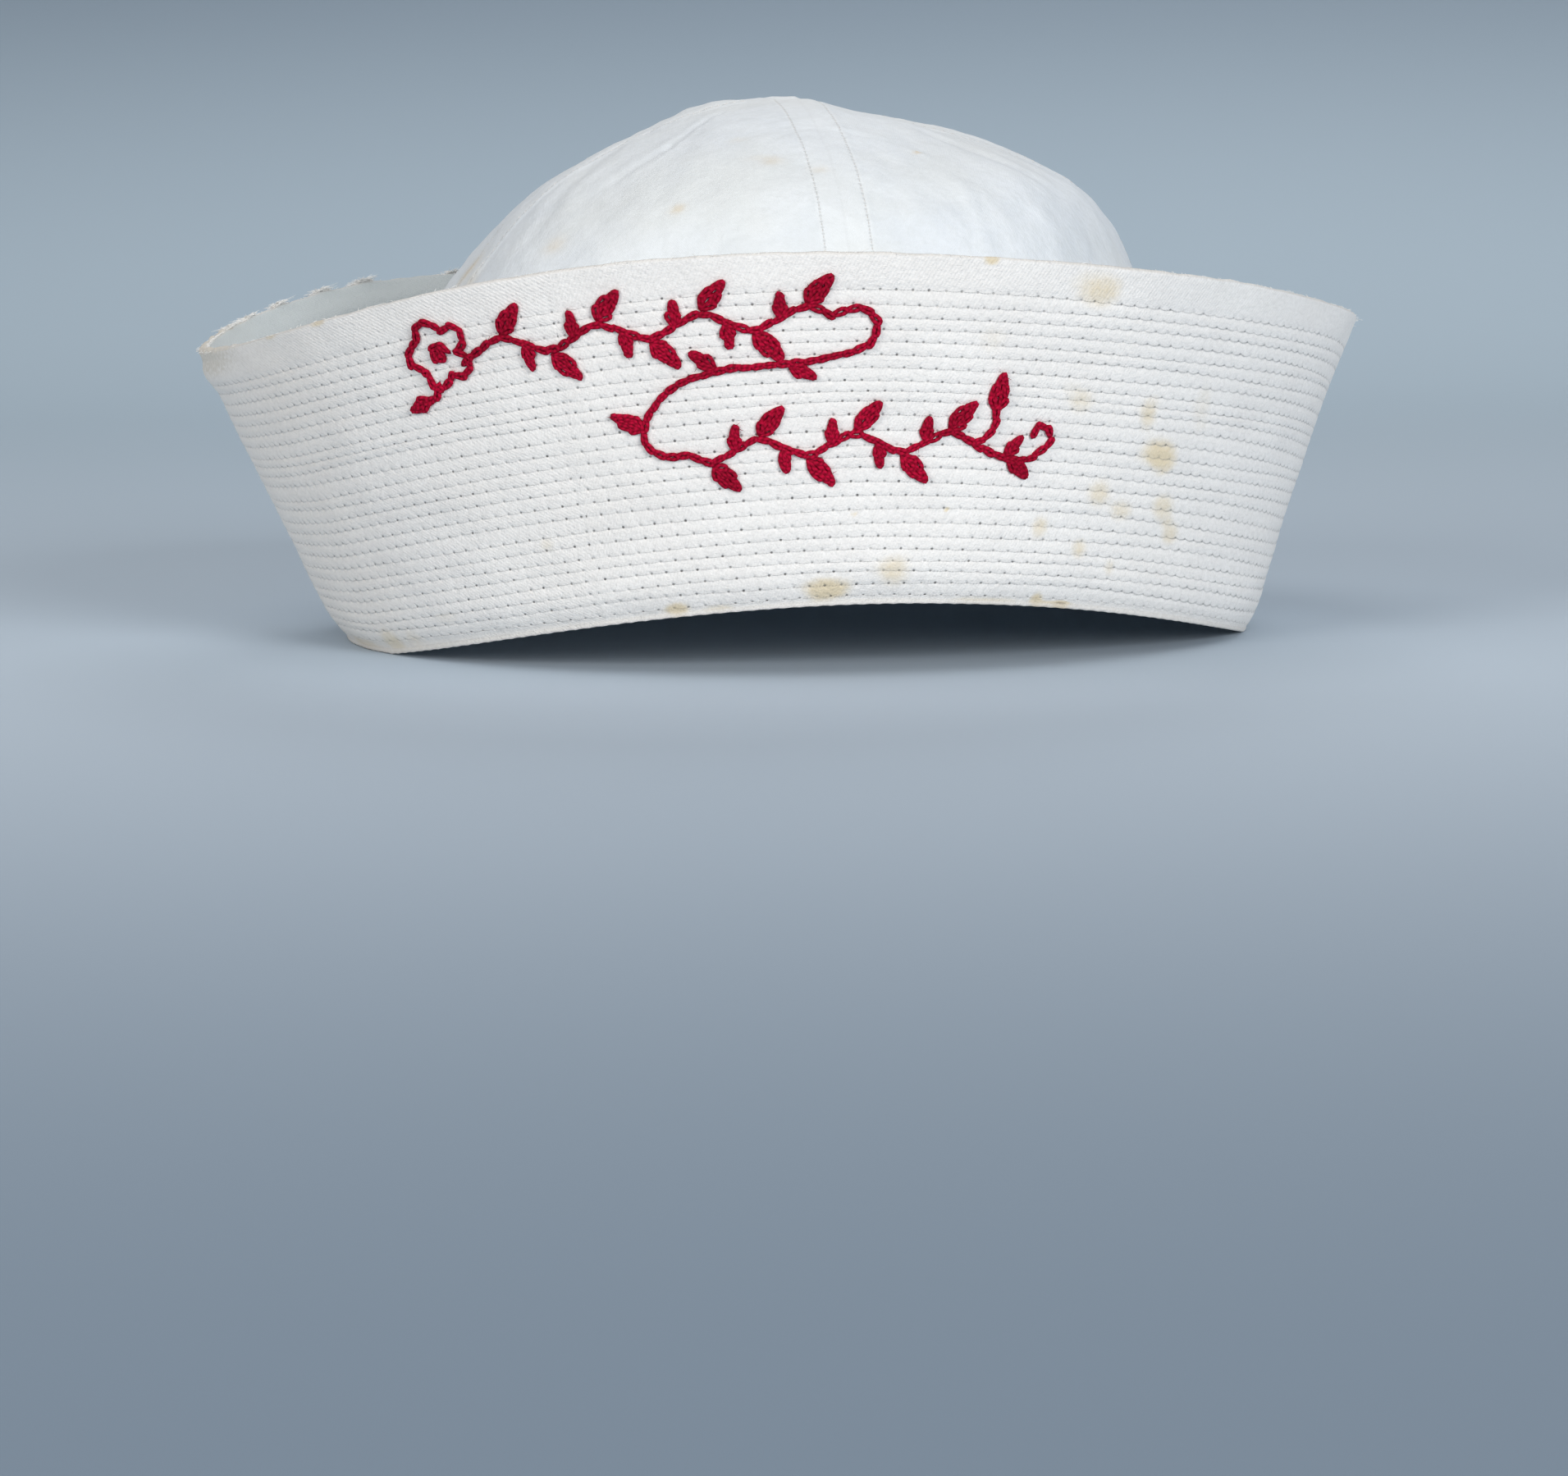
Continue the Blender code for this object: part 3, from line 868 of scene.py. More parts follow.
# %% Quilted twill
def quilted_twill(name, rib_angle):
    """The brim's cloth. The ribs slant by rib_angle from the length of the brim, as its twill was
    cut. Each layer, laid over those before, is a tone of the cloth, dirt or painted shade."""
    material, tree, shader = new_material(name)
    chart, across, along = chart_of(tree, "cloth")
    _, turn, line = chart_of(tree, "rows")
    row, chance, hole, groove, overhang, dimple = stitch_masks(tree, turn, line)
    inside, crest, edge = brim_parts(turn, line)
    slack, drape = mark_of(tree, "slack"), mark_of(tree, "drape")
    hem = 1.0 - row.from_to(-0.4, 0.1)
    weave = twill_weave(tree, chart, across, along, rib_angle) * (hem * 0.40 + 0.48)
    lint = blotches(tree, chart, 0.0009, 3.0, 0.7)
    patches = blotches(tree, chart, 0.012, 4.0, 0.6)
    broad = blotches(tree, chart, 0.055, 3.0)

    fuzz = lint.from_to(0.36, 0.66) * 0.18 - weave * 0.16 + 0.02
    stain = mark_of(tree, "stain") * (lint * 0.8 + 0.75) * (patches * 1.2 + 0.6)
    wear = mark_of(tree, "wear") * (lint.from_to(0.35, 0.65) * 0.7 + 0.5)
    fold = (row + (patches - 0.5) * 0.3).from_to(ROW_COUNT - 0.30, ROW_COUNT + 0.60)
    painted_shade_below_rows = row.from_to(ROW_COUNT - 1.0, ROW_COUNT - 0.3)
    colour = layered(
        tree,
        (0.87, 0.86, 0.84),
        [
            (patches.from_to(0.35, 0.7), (0.84, 0.828, 0.808)),
            (broad.from_to(0.45, 0.75) * 0.30, (0.835, 0.812, 0.775)),
            (fuzz, (0.50, 0.49, 0.47)),
            # Warmer and a little darker round the slack left side.
            (slack.from_to(0.3, 1.0) * 0.30, (0.79, 0.75, 0.69)),
            (stain.from_to(0.05, 1.15), (0.73, 0.635, 0.46)),
            (stain.from_to(1.25, 2.2), (0.42, 0.34, 0.22)),
            # Painted shade: the inner face is tinted grey-green, as shaded cloth.
            (inside * 0.85, (0.57, 0.63, 0.645)),
            # Painted shade on the rim's crest, which would catch the light from above.
            (crest * 0.35, (0.45, 0.45, 0.43)),
            # A thin painted shadow along the rim's back edge, round the front.
            (edge * 0.45, (0.36, 0.365, 0.35)),
            (wear.from_to(0.1, 0.9) * (0.80 - inside * 0.70), (0.63, 0.60, 0.53)),
            # Painted shade on the narrow band below the last row.
            (painted_shade_below_rows * 0.16, (0.50, 0.49, 0.46)),
            # Grey-brown along the fold: partly dirt, partly painted shade on its rounded underside.
            (fold * (lint * 0.8 + 0.6) * 0.30, (0.53, 0.505, 0.465)),
            # Painted shadow along each row, under the cloth that hangs over the thread.
            (groove * (drape * 0.14 + 0.16 - slack * 0.10), (0.36, 0.36, 0.355)),
            # Painted shade in the needle holes.
            (hole * 0.80, (0.09, 0.085, 0.08)),
        ],
    )
    height = weave * 0.000045 + lint * 0.00026 - dimple * (slack * 0.00012 + 0.00005)
    height = height - hole * 0.00010 - overhang * (chance * 0.00010 + 0.00007)
    feed(tree, shader, colour, patches * 0.10 + 0.82, height)
    return material


TWILLS = {
    "brim_twill_front": quilted_twill("quilted_twill", np.radians(62)),
    "brim_twill_back": quilted_twill("quilted_twill_crossed", np.radians(-38)),
}
for name, twill in TWILLS.items():
    print(f"{twill.name} for {name}: {len(twill.node_tree.nodes)} nodes")

# %% [markdown]
# ## Make the two lengths
# Now the shape and the finish meet: each length gets its grid, its two charts and four marks,
# which say how stained, worn, slack and draped the cloth is at each point.

# %% The two lengths of twill
for name, start in (("brim_twill_front", LAPS[0]), ("brim_twill_back", LAPS[1])):
    grid, charts = brim_shell(start, start + 180.0)
    faces, corners = shell_faces(grid)
    azimuth, line = charts["rows"][:-1, :, 0] * 360, charts["rows"][:-1, :, 1]
    stained = np.where(line > -1.6, 1, 0.5)  # less on the inner face
    height = height_at(azimuth, np.clip(np.maximum(line, INSIDE - line), -1, ROW_COUNT))
    behind = degrees_past(WORN_RIM[0], azimuth)
    marks = {
        "stain": (brim_stains(azimuth, height) * stained).ravel(),
        "wear": (rim_wear(azimuth, height) * (1 - 0.7 * step(behind, *WEAR_FADE))).ravel(),
        "slack": slackness(azimuth).ravel(),
        "drape": draping(azimuth).ravel(),
    }
    charts = {key: value.reshape(-1, 2) for key, value in charts.items()}
    points = grid.reshape(-1, 3)
    piece = make_piece(name, points, faces, TWILLS[name], charts, corners, marks, crisp=True)
    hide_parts("brim")
    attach(piece, "root")

# %% [markdown]
# ## Threads as small tubes
# A stitch is a short piece of thread between two needle holes, and dips into the cloth at both
# ends. Curve objects with a bevel would be thousands of objects; instead all stitches of a face
# are one mesh of three-sided tubes, of two dozen triangles each. They are computed together, as
# one array with a stitch, a step along it and a side of the tube.


# %% Tubes along many paths at once
def unit(vectors):
    """The vectors, each divided by its length."""
    return vectors / np.maximum(np.linalg.norm(vectors, axis=-1, keepdims=True), 1e-12)


def tube_points(paths, radius, sides, facing, closed):
    """A ring round every step of every path: side * cosine + top * sine, times the radius."""
    if closed:
        along = unit(np.roll(paths, -1, axis=1) - np.roll(paths, 1, axis=1))
    else:
        along = unit(np.gradient(paths, axis=1))
    side = unit(np.cross(facing, along))
    top = np.cross(along, side)
    turn = np.linspace(0, 2 * np.pi, sides, endpoint=False)[:, None]
    wide = np.broadcast_to(radius, paths.shape[1:2])[None, :, None, None]
    ring = side[:, :, None] * np.cos(turn) + top[:, :, None] * np.sin(turn)
    return (paths[:, :, None] + ring * wide).reshape(-1, 3)


def tube_chart(paths, sides):
    """Round the thread from 0 to 1 and along it in metres, with one more line each way."""
    length = np.linalg.norm(np.diff(paths, axis=1), axis=-1)
    length = np.concatenate([0 * length[:, :1], np.cumsum(length, axis=1)], axis=1)
    length = np.concatenate([length, length[:, -1:] + length[:, 1:2]], axis=1)
    turn = np.linspace(0, 1, sides + 1)
    return np.stack(np.broadcast_arrays(turn, length[:, :, None]), axis=-1).reshape(-1, 2)


# %% Faces of the tubes, and a piece of them
def tube_faces(count, steps, sides, closed):
    """Faces round every tube, with a cap at each open end, and the same faces on the chart."""
    k = np.arange(steps if closed else steps - 1)[None, :, None]
    j = np.arange(sides)[None, None, :]
    faces, corners = [], []
    for kept, wide, tall in ((faces, sides, steps), (corners, sides + 1, steps + 1)):
        first = np.arange(count)[:, None] * wide * tall
        next_k, next_j = (k + 1) % tall, (j + 1) % wide
        quads = [k * wide + j, k * wide + next_j, next_k * wide + next_j, next_k * wide + j]
        kept.append(np.stack([first[..., None] + quad for quad in quads], axis=-1).reshape(-1, 4))
        if not closed:
            kept += [first + np.arange(sides)[::-1], first + (steps - 1) * wide + np.arange(sides)]
    return faces, corners


def tubes(name, finish, paths, radius, sides, facing, closed=False, stain=None):
    """A piece of tubes round every path: paths (n, steps, 3), radius a number or (steps,), facing
    one rough upward vector for each path, and stain one number for each step."""
    faces, corners = tube_faces(*paths.shape[:2], sides, closed)
    points = tube_points(paths, radius, sides, facing, closed)
    marks = {} if stain is None else {"stain": np.repeat(stain.ravel(), sides)}
    charts = {"thread": tube_chart(paths, sides)}
    return make_piece(name, points, faces, finish, charts, corners, marks)


# %% [markdown]
# ## The look of thread
# Real thread is two or three strands twisted round each other. Modelled strands would be far too
# many faces, so the twist is a sine on the thread's own chart, which runs along it as the strands
# do.


# %% Twisted thread
def thread_finish(name, colour, shade, pitch, sheen, relief=1.0):
    """Slanting strands from the chart, with painted shade between them.
    A single fibre has less relief.
    """
    material, tree, shader = new_material(name)
    _, around_thread, along = chart_of(tree, "thread")
    strand = ((along * (1 / pitch) + around_thread) * (2 * np.pi)).maths("SINE") * 0.5 + 0.5
    place = Wire.node(tree, "ShaderNodeTexCoord")["Object"]
    fibres = blotches(tree, place, 0.0009, 2.0)
    tone = blotches(tree, place, 0.010, 2.0)
    layers = [
        # Painted shade between the strands: the shade colour shows where a strand is low.
        (strand * 0.55 + fibres * 0.5, colour),
        (tone.from_to(0.35, 0.7) * 0.35, shade),
        (mark_of(tree, "stain") * 0.9, (0.62, 0.51, 0.33)),
    ]
    height = strand * (0.00006 * relief) + fibres * (0.00005 * relief)
    feed(tree, shader, layered(tree, shade, layers), 0.75, height, specular=0.10, sheen=sheen)
    return material


SEWING = thread_finish("sewing_thread", (0.78, 0.77, 0.75), (0.56, 0.555, 0.54), 0.0006, 0.1)
print("Made the finish", SEWING.name)

# %% [markdown]
# ## Sew the brim
# The rows were sewn through all the plies, so both faces show every stitch. The stitches are
# counted, as the machine would, and the counts are turned back into azimuths, so that each thread
# ends in the same holes that the cloth's puckers and the material's dark spots are at.

# %% Every stitch of the brim
THREAD_RADIUS = 0.00012
OUTER_STITCH = np.array([0.04, 0.16, 0.5, 0.84, 0.96])  # as shares of the way to the next hole
INNER_STITCH = np.array([0.04, 0.5, 0.96])
SAG, SAG_LEAST, SAG_START = 0.10, 0.03, -0.015  # how far a stitch sags, in rows


# %% Paths of the stitches
def brim_stitches(face, parts, sink, lift):
    """Paths of every stitch of one face, row by row. The ends sink into the cloth and the middle is
    lifted out of it; between them the thread sags by 1 - (2 part - 1)^2."""
    azimuths, rows = [], []
    for row in range(ROW_COUNT):
        for start in LAPS:
            ends = stitch_count(np.array([start, start + 180.0]) + lap_lean(row), row)
            holes = np.arange(np.ceil(ends[0] + 0.1), np.floor(ends[1] - 0.1))
            counts = holes[:, None] + parts
            azimuths.append((counts - row * ROW_OFFSET) / row_stitches(row) * 360)
            rows.append(row + 0 * counts)
    azimuth, row = np.concatenate(azimuths), np.concatenate(rows)
    sag = (SAG * draping(azimuth) + SAG_LEAST) * (1 - (2 * parts - 1) ** 2) + SAG_START
    point, _, out = face(azimuth, row + sag)
    depth = np.where((parts < 0.1) | (parts > 0.9), -sink, lift)
    stain = brim_stains(azimuth, height_at(azimuth, row))
    return point + out * depth[:, None], out[:, len(parts) // 2][:, None], stain


# %% Thread in both faces
paths, facing, stain = brim_stitches(outer_brim, OUTER_STITCH, 0.00022, -0.00006)
stitching = tubes("brim_stitching", SEWING, paths, THREAD_RADIUS, 3, facing, stain=stain)
paths, facing, _ = brim_stitches(inner_brim, INNER_STITCH, -0.00020, -0.00004)
inner_stitching = tubes("brim_stitching_inside", SEWING, paths, THREAD_RADIUS, 3, facing)
for piece in (stitching, inner_stitching):
    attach(piece, "root")
print(f"{len(paths)} stitches on each face of the brim")

# %% [markdown]
# ## Fluff on the rim
# Where the rim has been held it is worn through, and broken threads stand up as fluff. A hair
# system would not be part of the mesh, so each fibre is a thin bent tube that starts in the
# rim. They crowd on the worn stretch at the left and in a few tufts along the back, and are rare
# elsewhere.

# %% Fibres of the rim
FIBRE_LENGTH = 0.0009
FIBRE_RADII = np.array([0.00006, 0.00006, 0.00005, 0.00003])
TALL, SHORT = 1.3, 0.6  # times that length, in a tuft and elsewhere
STEPS = np.linspace(0, 1, 4)[None, :, None]

# %% Where the fibres grow
rng = np.random.default_rng(17)
azimuth = np.concatenate(
    [
        rng.normal(middle, half / 2, number) if half < 90 else rng.uniform(-half, half, number)
        for middle, half, _, number in TUFTS
    ]
)
tall = np.concatenate([np.full(n, TALL if height > 0 else SHORT) for _, _, height, n in TUFTS])
foot, up, out = outer_brim(azimuth, np.full_like(azimuth, -1.0))
inner, _, _ = inner_brim(azimuth, np.full_like(azimuth, -1.0))
foot = foot + (inner - foot) * rng.uniform(0.0, 1.0, (len(azimuth), 1))
foot = foot + up * (0.0003 + tuft_height(azimuth) * rng.uniform(0.3, 1.0, len(azimuth)))[:, None]
aside = np.cross(up, out)
length = (rng.uniform(0.3, 1.0, len(azimuth)) * FIBRE_LENGTH * tall)[:, None, None]
lean = rng.normal(0, 0.8, (len(azimuth), 2))
curl = rng.normal(0, 1.1, (len(azimuth), 2))
bent_out, bent_aside = (
    lean[:, i, None, None] * STEPS + curl[:, i, None, None] * STEPS**2 for i in (0, 1)
)
paths = foot[:, None] + length * (
    up[:, None] * (STEPS - 0.5 * STEPS**2) + out[:, None] * bent_out + aside[:, None] * bent_aside
)
COTTON_FIBRE = thread_finish(
    "cotton_fibre", (0.95, 0.95, 0.93), (0.88, 0.88, 0.86), 0.0006, 0.3, relief=0.05
)
fluff = tubes("rim_fluff", COTTON_FIBRE, paths, FIBRE_RADII, 3, out[:, None])
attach(fluff, "root")
print(f"{len(azimuth)} fibres")

# %% [markdown]
# ## The crown's smooth shape
# The crown is sewn taut, as a smooth and slightly lopsided dome. A squashed sphere would miss its
# steep sides and flat top. The table gives its outline at thirteen heights, and a curve
# through them (a cubic with the slopes of its neighbours) gives every height between. It is
# followed by its own length, `climb`, in metres from the fold, so that steps stay even where the
# crown turns flat.


# %% A curve through the crown's outline
def curve_through(places, values, at):
    """A cubic between each two places: values and slopes agree at both ends."""
    slopes = np.gradient(values, places, axis=0)
    i = np.clip(np.searchsorted(places, at, side="right") - 1, 0, len(places) - 2)
    wide = places[i + 1] - places[i]
    t = (at - places[i]) / wide
    t, wide = t[..., None], wide[..., None]
    keep, pull = 2 * t**3 - 3 * t**2 + 1, t**3 - 2 * t**2 + t
    return (
        keep * values[i]
        + (1 - keep) * values[i + 1]
        + wide * (pull * slopes[i] + (t**3 - t**2) * slopes[i + 1])
    )


over_top = CROWN_PROFILE[-1] * [1, -1, -1, -1, -1]  # down the other side, for the curve's slope
profile = np.vstack([CROWN_PROFILE, [1.0, 0, 0, 0, 0], over_top])
mean_share = profile[:, 1:].mean(axis=1)
CROWN_RADIUS = 0.0925  # on the whole, where it joins the fold
chords = np.hypot(np.diff(mean_share) * CROWN_RADIUS, np.diff(profile[:, 0]) * CROWN_HEIGHT)
climbs = np.concatenate([[0], np.cumsum(chords)])
TOP_CLIMB = climbs[-2]
CROWN_HALF_WIDTH = FOLD_HALF_WIDTH - BRIM_WALL - PIECE_GAP
CROWN_HALF_LENGTH = FOLD_HALF_LENGTH - BRIM_WALL - PIECE_GAP
print(f"From the fold to the top it is {TOP_CLIMB*1000:.0f} mm over the crown")


# %% Size, points and facing of the crown
def crown_size(azimuth, climb):
    """The rise and the oval's share: its four sides, blended by the azimuth's squared cosine."""
    line = curve_through(climbs, profile, climb)
    sides = np.array([-90, 90, 0, 180])
    weights = [np.clip(np.cos(np.radians(azimuth - side)), 0, 1) ** 2 for side in sides]
    share = sum(w * line[..., k + 1] for k, w in enumerate(weights)) / sum(weights)
    return np.minimum(line[..., 0], 1.0), share


def climb_at(rise):
    """The climb at which the crown has a given rise."""
    return np.interp(rise, profile[:-1, 0], climbs[:-1])


def crown_face(azimuth, climb):
    """Points of the plain crown, and the directions that it faces: an oval at each rise, pushed
    out or in by the humps of its broad dents. It faces outwards at its foot and up at its top."""
    rise, share = crown_size(azimuth, climb)
    foot = fold_line(azimuth)[..., 2] + PIECE_GAP
    height = foot + (CROWN_HEIGHT - foot) * rise
    shift_x = FOLD_SHIFT_X + CROWN_SHIFT_X * rise
    point = around(azimuth, CROWN_HALF_WIDTH * share, CROWN_HALF_LENGTH * share, shift_x, height)
    tip_up = np.radians(90) * rise**2
    facing = outward(azimuth) * np.cos(tip_up)[..., None]
    facing = facing + np.array([0, 0, 1.0]) * np.sin(tip_up)[..., None]
    swell = 0.0
    for middle, dent_rise, half_wide, half_high, dent in CROWN_DENTS:
        across = np.radians(degrees_past(azimuth, middle)) * CROWN_HALF_WIDTH * share
        above = (rise - dent_rise) * CROWN_HEIGHT
        swell = swell + dent * hump(across, half_wide) * hump(above, half_high)
    return point + facing * (swell * np.ones_like(share))[..., None] + CENTRE, facing


# %% [markdown]
# ## Seams, creases and puckers
# Two gores are joined by a lapped seam: both edges are folded into each other, which makes a
# strip about 10 mm wide, sewn down along both sides. The strip stands a little proud, its two
# rows of stitches pull small puckers, and the join itself shows as a faint line in its middle.
# Creases and hollows are where this cap has them, which a simulation can't be told, so they come
# from tables: a hollow is one soft spot, and a crease a short line with a shallow valley or
# ridge.

# %% Hollows and creases
HOLLOWS = [  # azimuth, rise, half width in degrees, half height as a rise, depth in mm
    (-90, 0.66, 36, 0.30, 0.55),
    (-86, 0.90, 24, 0.05, 0.70),
    (90, 0.70, 34, 0.28, 0.50),
    (82, 0.925, 16, 0.03, 0.55),
    (20, 0.98, 60, 0.03, -0.35),
]
CREASES = [  # from azimuth, rise to azimuth, rise, then half width in mm and depth in mm
    (-5, 0.897, 4.6, 0.921, 0.9, 0.28),
    (4.6, 0.921, 15.4, 0.917, 0.8, 0.34),
    (15.4, 0.917, 30, 0.897, 1.0, 0.26),
    (-37.8, 0.965, -36.2, 0.899, 1.1, 0.40),
    (-36.2, 0.899, -42, 0.840, 1.4, 0.25),
    (34.6, 0.815, 31.8, 0.650, 1.6, -0.32),
    (31.5, 0.885, 34.0, 0.872, 0.8, -0.40),
    (52, 0.93, 60, 0.80, 2.2, 0.35),
    (-62, 0.90, -52, 0.74, 2.4, 0.35),
    (-24, 0.86, -17, 0.66, 2.6, -0.22),
    (22, 0.86, 18, 0.70, 2.0, 0.22),
    (-46, 0.80, -30, 0.72, 2.4, 0.22),
    (44, 0.78, 58, 0.70, 2.2, -0.25),
    (98, 0.92, 110, 0.76, 2.0, 0.35),
    (126, 0.88, 118, 0.70, 2.4, -0.35),
    (150, 0.93, 160, 0.78, 2.0, 0.35),
    (176, 0.90, 168, 0.70, 2.2, 0.25),
    (204, 0.92, 212, 0.72, 2.0, -0.35),
    (232, 0.90, 222, 0.78, 2.6, 0.35),
    (252, 0.84, 262, 0.68, 2.2, 0.30),
    (272, 0.93, 280, 0.82, 2.0, -0.30),
]


# %% How deep they are
def away_from_line(azimuth, climb, share, start, end):
    """Distance in metres from a short line on the crown, as if it were flat at each point: to the
    place on it that is a share t of the way along, where t is kept from 0 to 1."""
    wide = CROWN_HALF_WIDTH * np.maximum(share, 0.05)
    (a0, c0), (a1, c1) = start, end
    x = np.radians(degrees_past(azimuth, a0)) * wide
    y = climb - c0
    dx, dy = np.radians(a1 - a0) * wide, c1 - c0
    t = np.clip((x * dx + y * dy) / (dx**2 + dy**2 + 1e-12), 0, 1)
    return np.hypot(x - t * dx, y - t * dy)


def hollowed(azimuth, climb):
    """How far the cloth is pushed in: a spot is exp(-across^2 - along^2), and a crease is a hump
    across its line with a weaker one the other way beside it, as cloth has next to a fold."""
    rise, share = crown_size(azimuth, climb)
    depth = 0 * climb
    for middle, low, wide, tall, deep in HOLLOWS:
        depth = depth + deep * hump(degrees_past(azimuth, middle), wide) * hump(rise - low, tall)
    for a0, r0, a1, r1, half_wide, deep in CREASES:
        start, end = (a0, climb_at(r0)), (a1, climb_at(r1))
        away = away_from_line(azimuth, climb, share, start, end) * 1000 / half_wide
        depth = depth + 0.7 * deep * (hump(away, 1) - 0.35 * hump(away - 1.8, 1))
    return depth / 1000


print(f"{len(HOLLOWS)} hollows and {len(CREASES)} creases")

# %% Measures of the lapped seams
STRIP_HALF, STRIP_LIFT = 0.0052, 0.00016
STITCH_LINE = 0.0045  # the stitches run this far from the seam's middle
STITCH_GROOVE = (0.00009, 0.00060)  # depth and half width of the groove that they pull
JOIN_GROOVE = (0.00006, 0.0006)
SEAM_PUCKERS, PUCKER_REACH = [(0.00011, 0.0042, 21)], 0.0035
CROWN_WAVES = [(0.00050, 0.040, 22), (0.00018, 0.015, 23)]
CRUMPLE = [(0.00010, 0.0065, 24)]
TOP_LIFT = 0.0007  # the four tips are lapped over each other, so the very top stands up
FOOT_FLARE = 0.0013  # the foot flares, to meet the brim that it is sewn to
GORE_FOOT = 0.0005  # the gores start this far up from the fold


# %% Relief of the seams and of the crown
def to_nearest_seam(azimuth, share):
    """Distance in metres round the crown to the nearest seam."""
    away = [np.abs(degrees_past(azimuth, seam)) for seam, _ in CROWN_SEAMS]
    return np.radians(np.min(away, axis=0)) * CROWN_HALF_WIDTH * np.abs(share)


def seam_relief(seam, point, near_top):
    """The strip's raised cloth less the humps of its two grooves, plus the puckers beside it."""
    strip = 1 - step(seam, STRIP_HALF - 0.0002, STRIP_HALF + 0.0010)
    relief = STRIP_LIFT * strip * (1 - 0.4 * near_top)
    for (depth, half), middle in ((STITCH_GROOVE, STITCH_LINE), (JOIN_GROOVE, 0)):
        relief -= depth * hump(seam - middle, half) * (1 - near_top)
    beside = hump(seam - STITCH_LINE, PUCKER_REACH)
    return relief + beside * waviness(point, SEAM_PUCKERS) * (1 - near_top)


def crown_relief(azimuth, climb):
    """Points of the plain crown, the way they face, and how far the cloth stands off them: the
    seams' relief, the waves, a lifted top and a flared foot added up, less the hollows."""
    _, share = crown_size(azimuth, climb)
    point, facing = crown_face(azimuth, climb)
    near_top = step(climb, TOP_CLIMB - 0.012, TOP_CLIMB - 0.002)
    relief = seam_relief(to_nearest_seam(azimuth, share), point, near_top)
    relief += (1 - 0.7 * near_top) * waviness(point, CROWN_WAVES + CRUMPLE)
    relief += TOP_LIFT * step(climb, TOP_CLIMB - 0.0048, TOP_CLIMB - 0.0030)
    relief += FOOT_FLARE * step(climb, 0.0008, 0.0028) * (1 - step(climb, 0.0045, 0.0090))
    return point, facing, relief - hollowed(azimuth, climb)


# %% [markdown]
# ## The crown's finish
# The crown's cotton is thinner and whiter than the twill, with a plain weave of threads that go
# over and under in turn. A bump made of two crossed sines gives that weave, and noise in three
# sizes gives the thick places in its threads and its creased, washed look. A few stains come from
# a table again.

# %% Stains of the crown
CROWN_STAINS = [  # azimuth, rise, half width, half height in mm, strength
    (-20.8, 0.769, 1.3, 1.2, 0.75),
    (-3.8, 0.851, 2.0, 1.6, 0.40),
    (-6.0, 0.860, 3.0, 1.0, 0.22),
    (6.0, 0.830, 1.6, 1.2, 0.35),
    (-44.4, 0.716, 2.6, 2.2, 0.45),
    (-72.8, 0.683, 3.6, 3.4, 0.85),
    (32.6, 0.879, 0.8, 0.5, 1.00),
    (-66.0, 0.660, 2.4, 3.6, 0.35),
    (-14.0, 0.90, 2.0, 1.2, 0.20),
    (130.0, 0.80, 3.0, 2.4, 0.35),
    (214.0, 0.70, 3.4, 2.6, 0.40),
]


def crown_stains(azimuth, climb, share):
    """Sum of soft round spots, strength * exp(-across^2 - along^2)."""
    total = 0 * climb
    for middle, rise, half_wide, half_high, strength in CROWN_STAINS:
        across = millimetres_round(azimuth, middle, CROWN_HALF_WIDTH * share)
        above = (climb - climb_at(rise)) * 1000
        total = total + strength * hump(across, half_wide) * hump(above, half_high)
    return total


print(f"{len(CROWN_STAINS)} stains on the crown")

# %% Crown cotton
WEAVE_PITCH = 0.00044
SEAM_PITCH = 0.0016  # metres from one stitch of a seam to the next


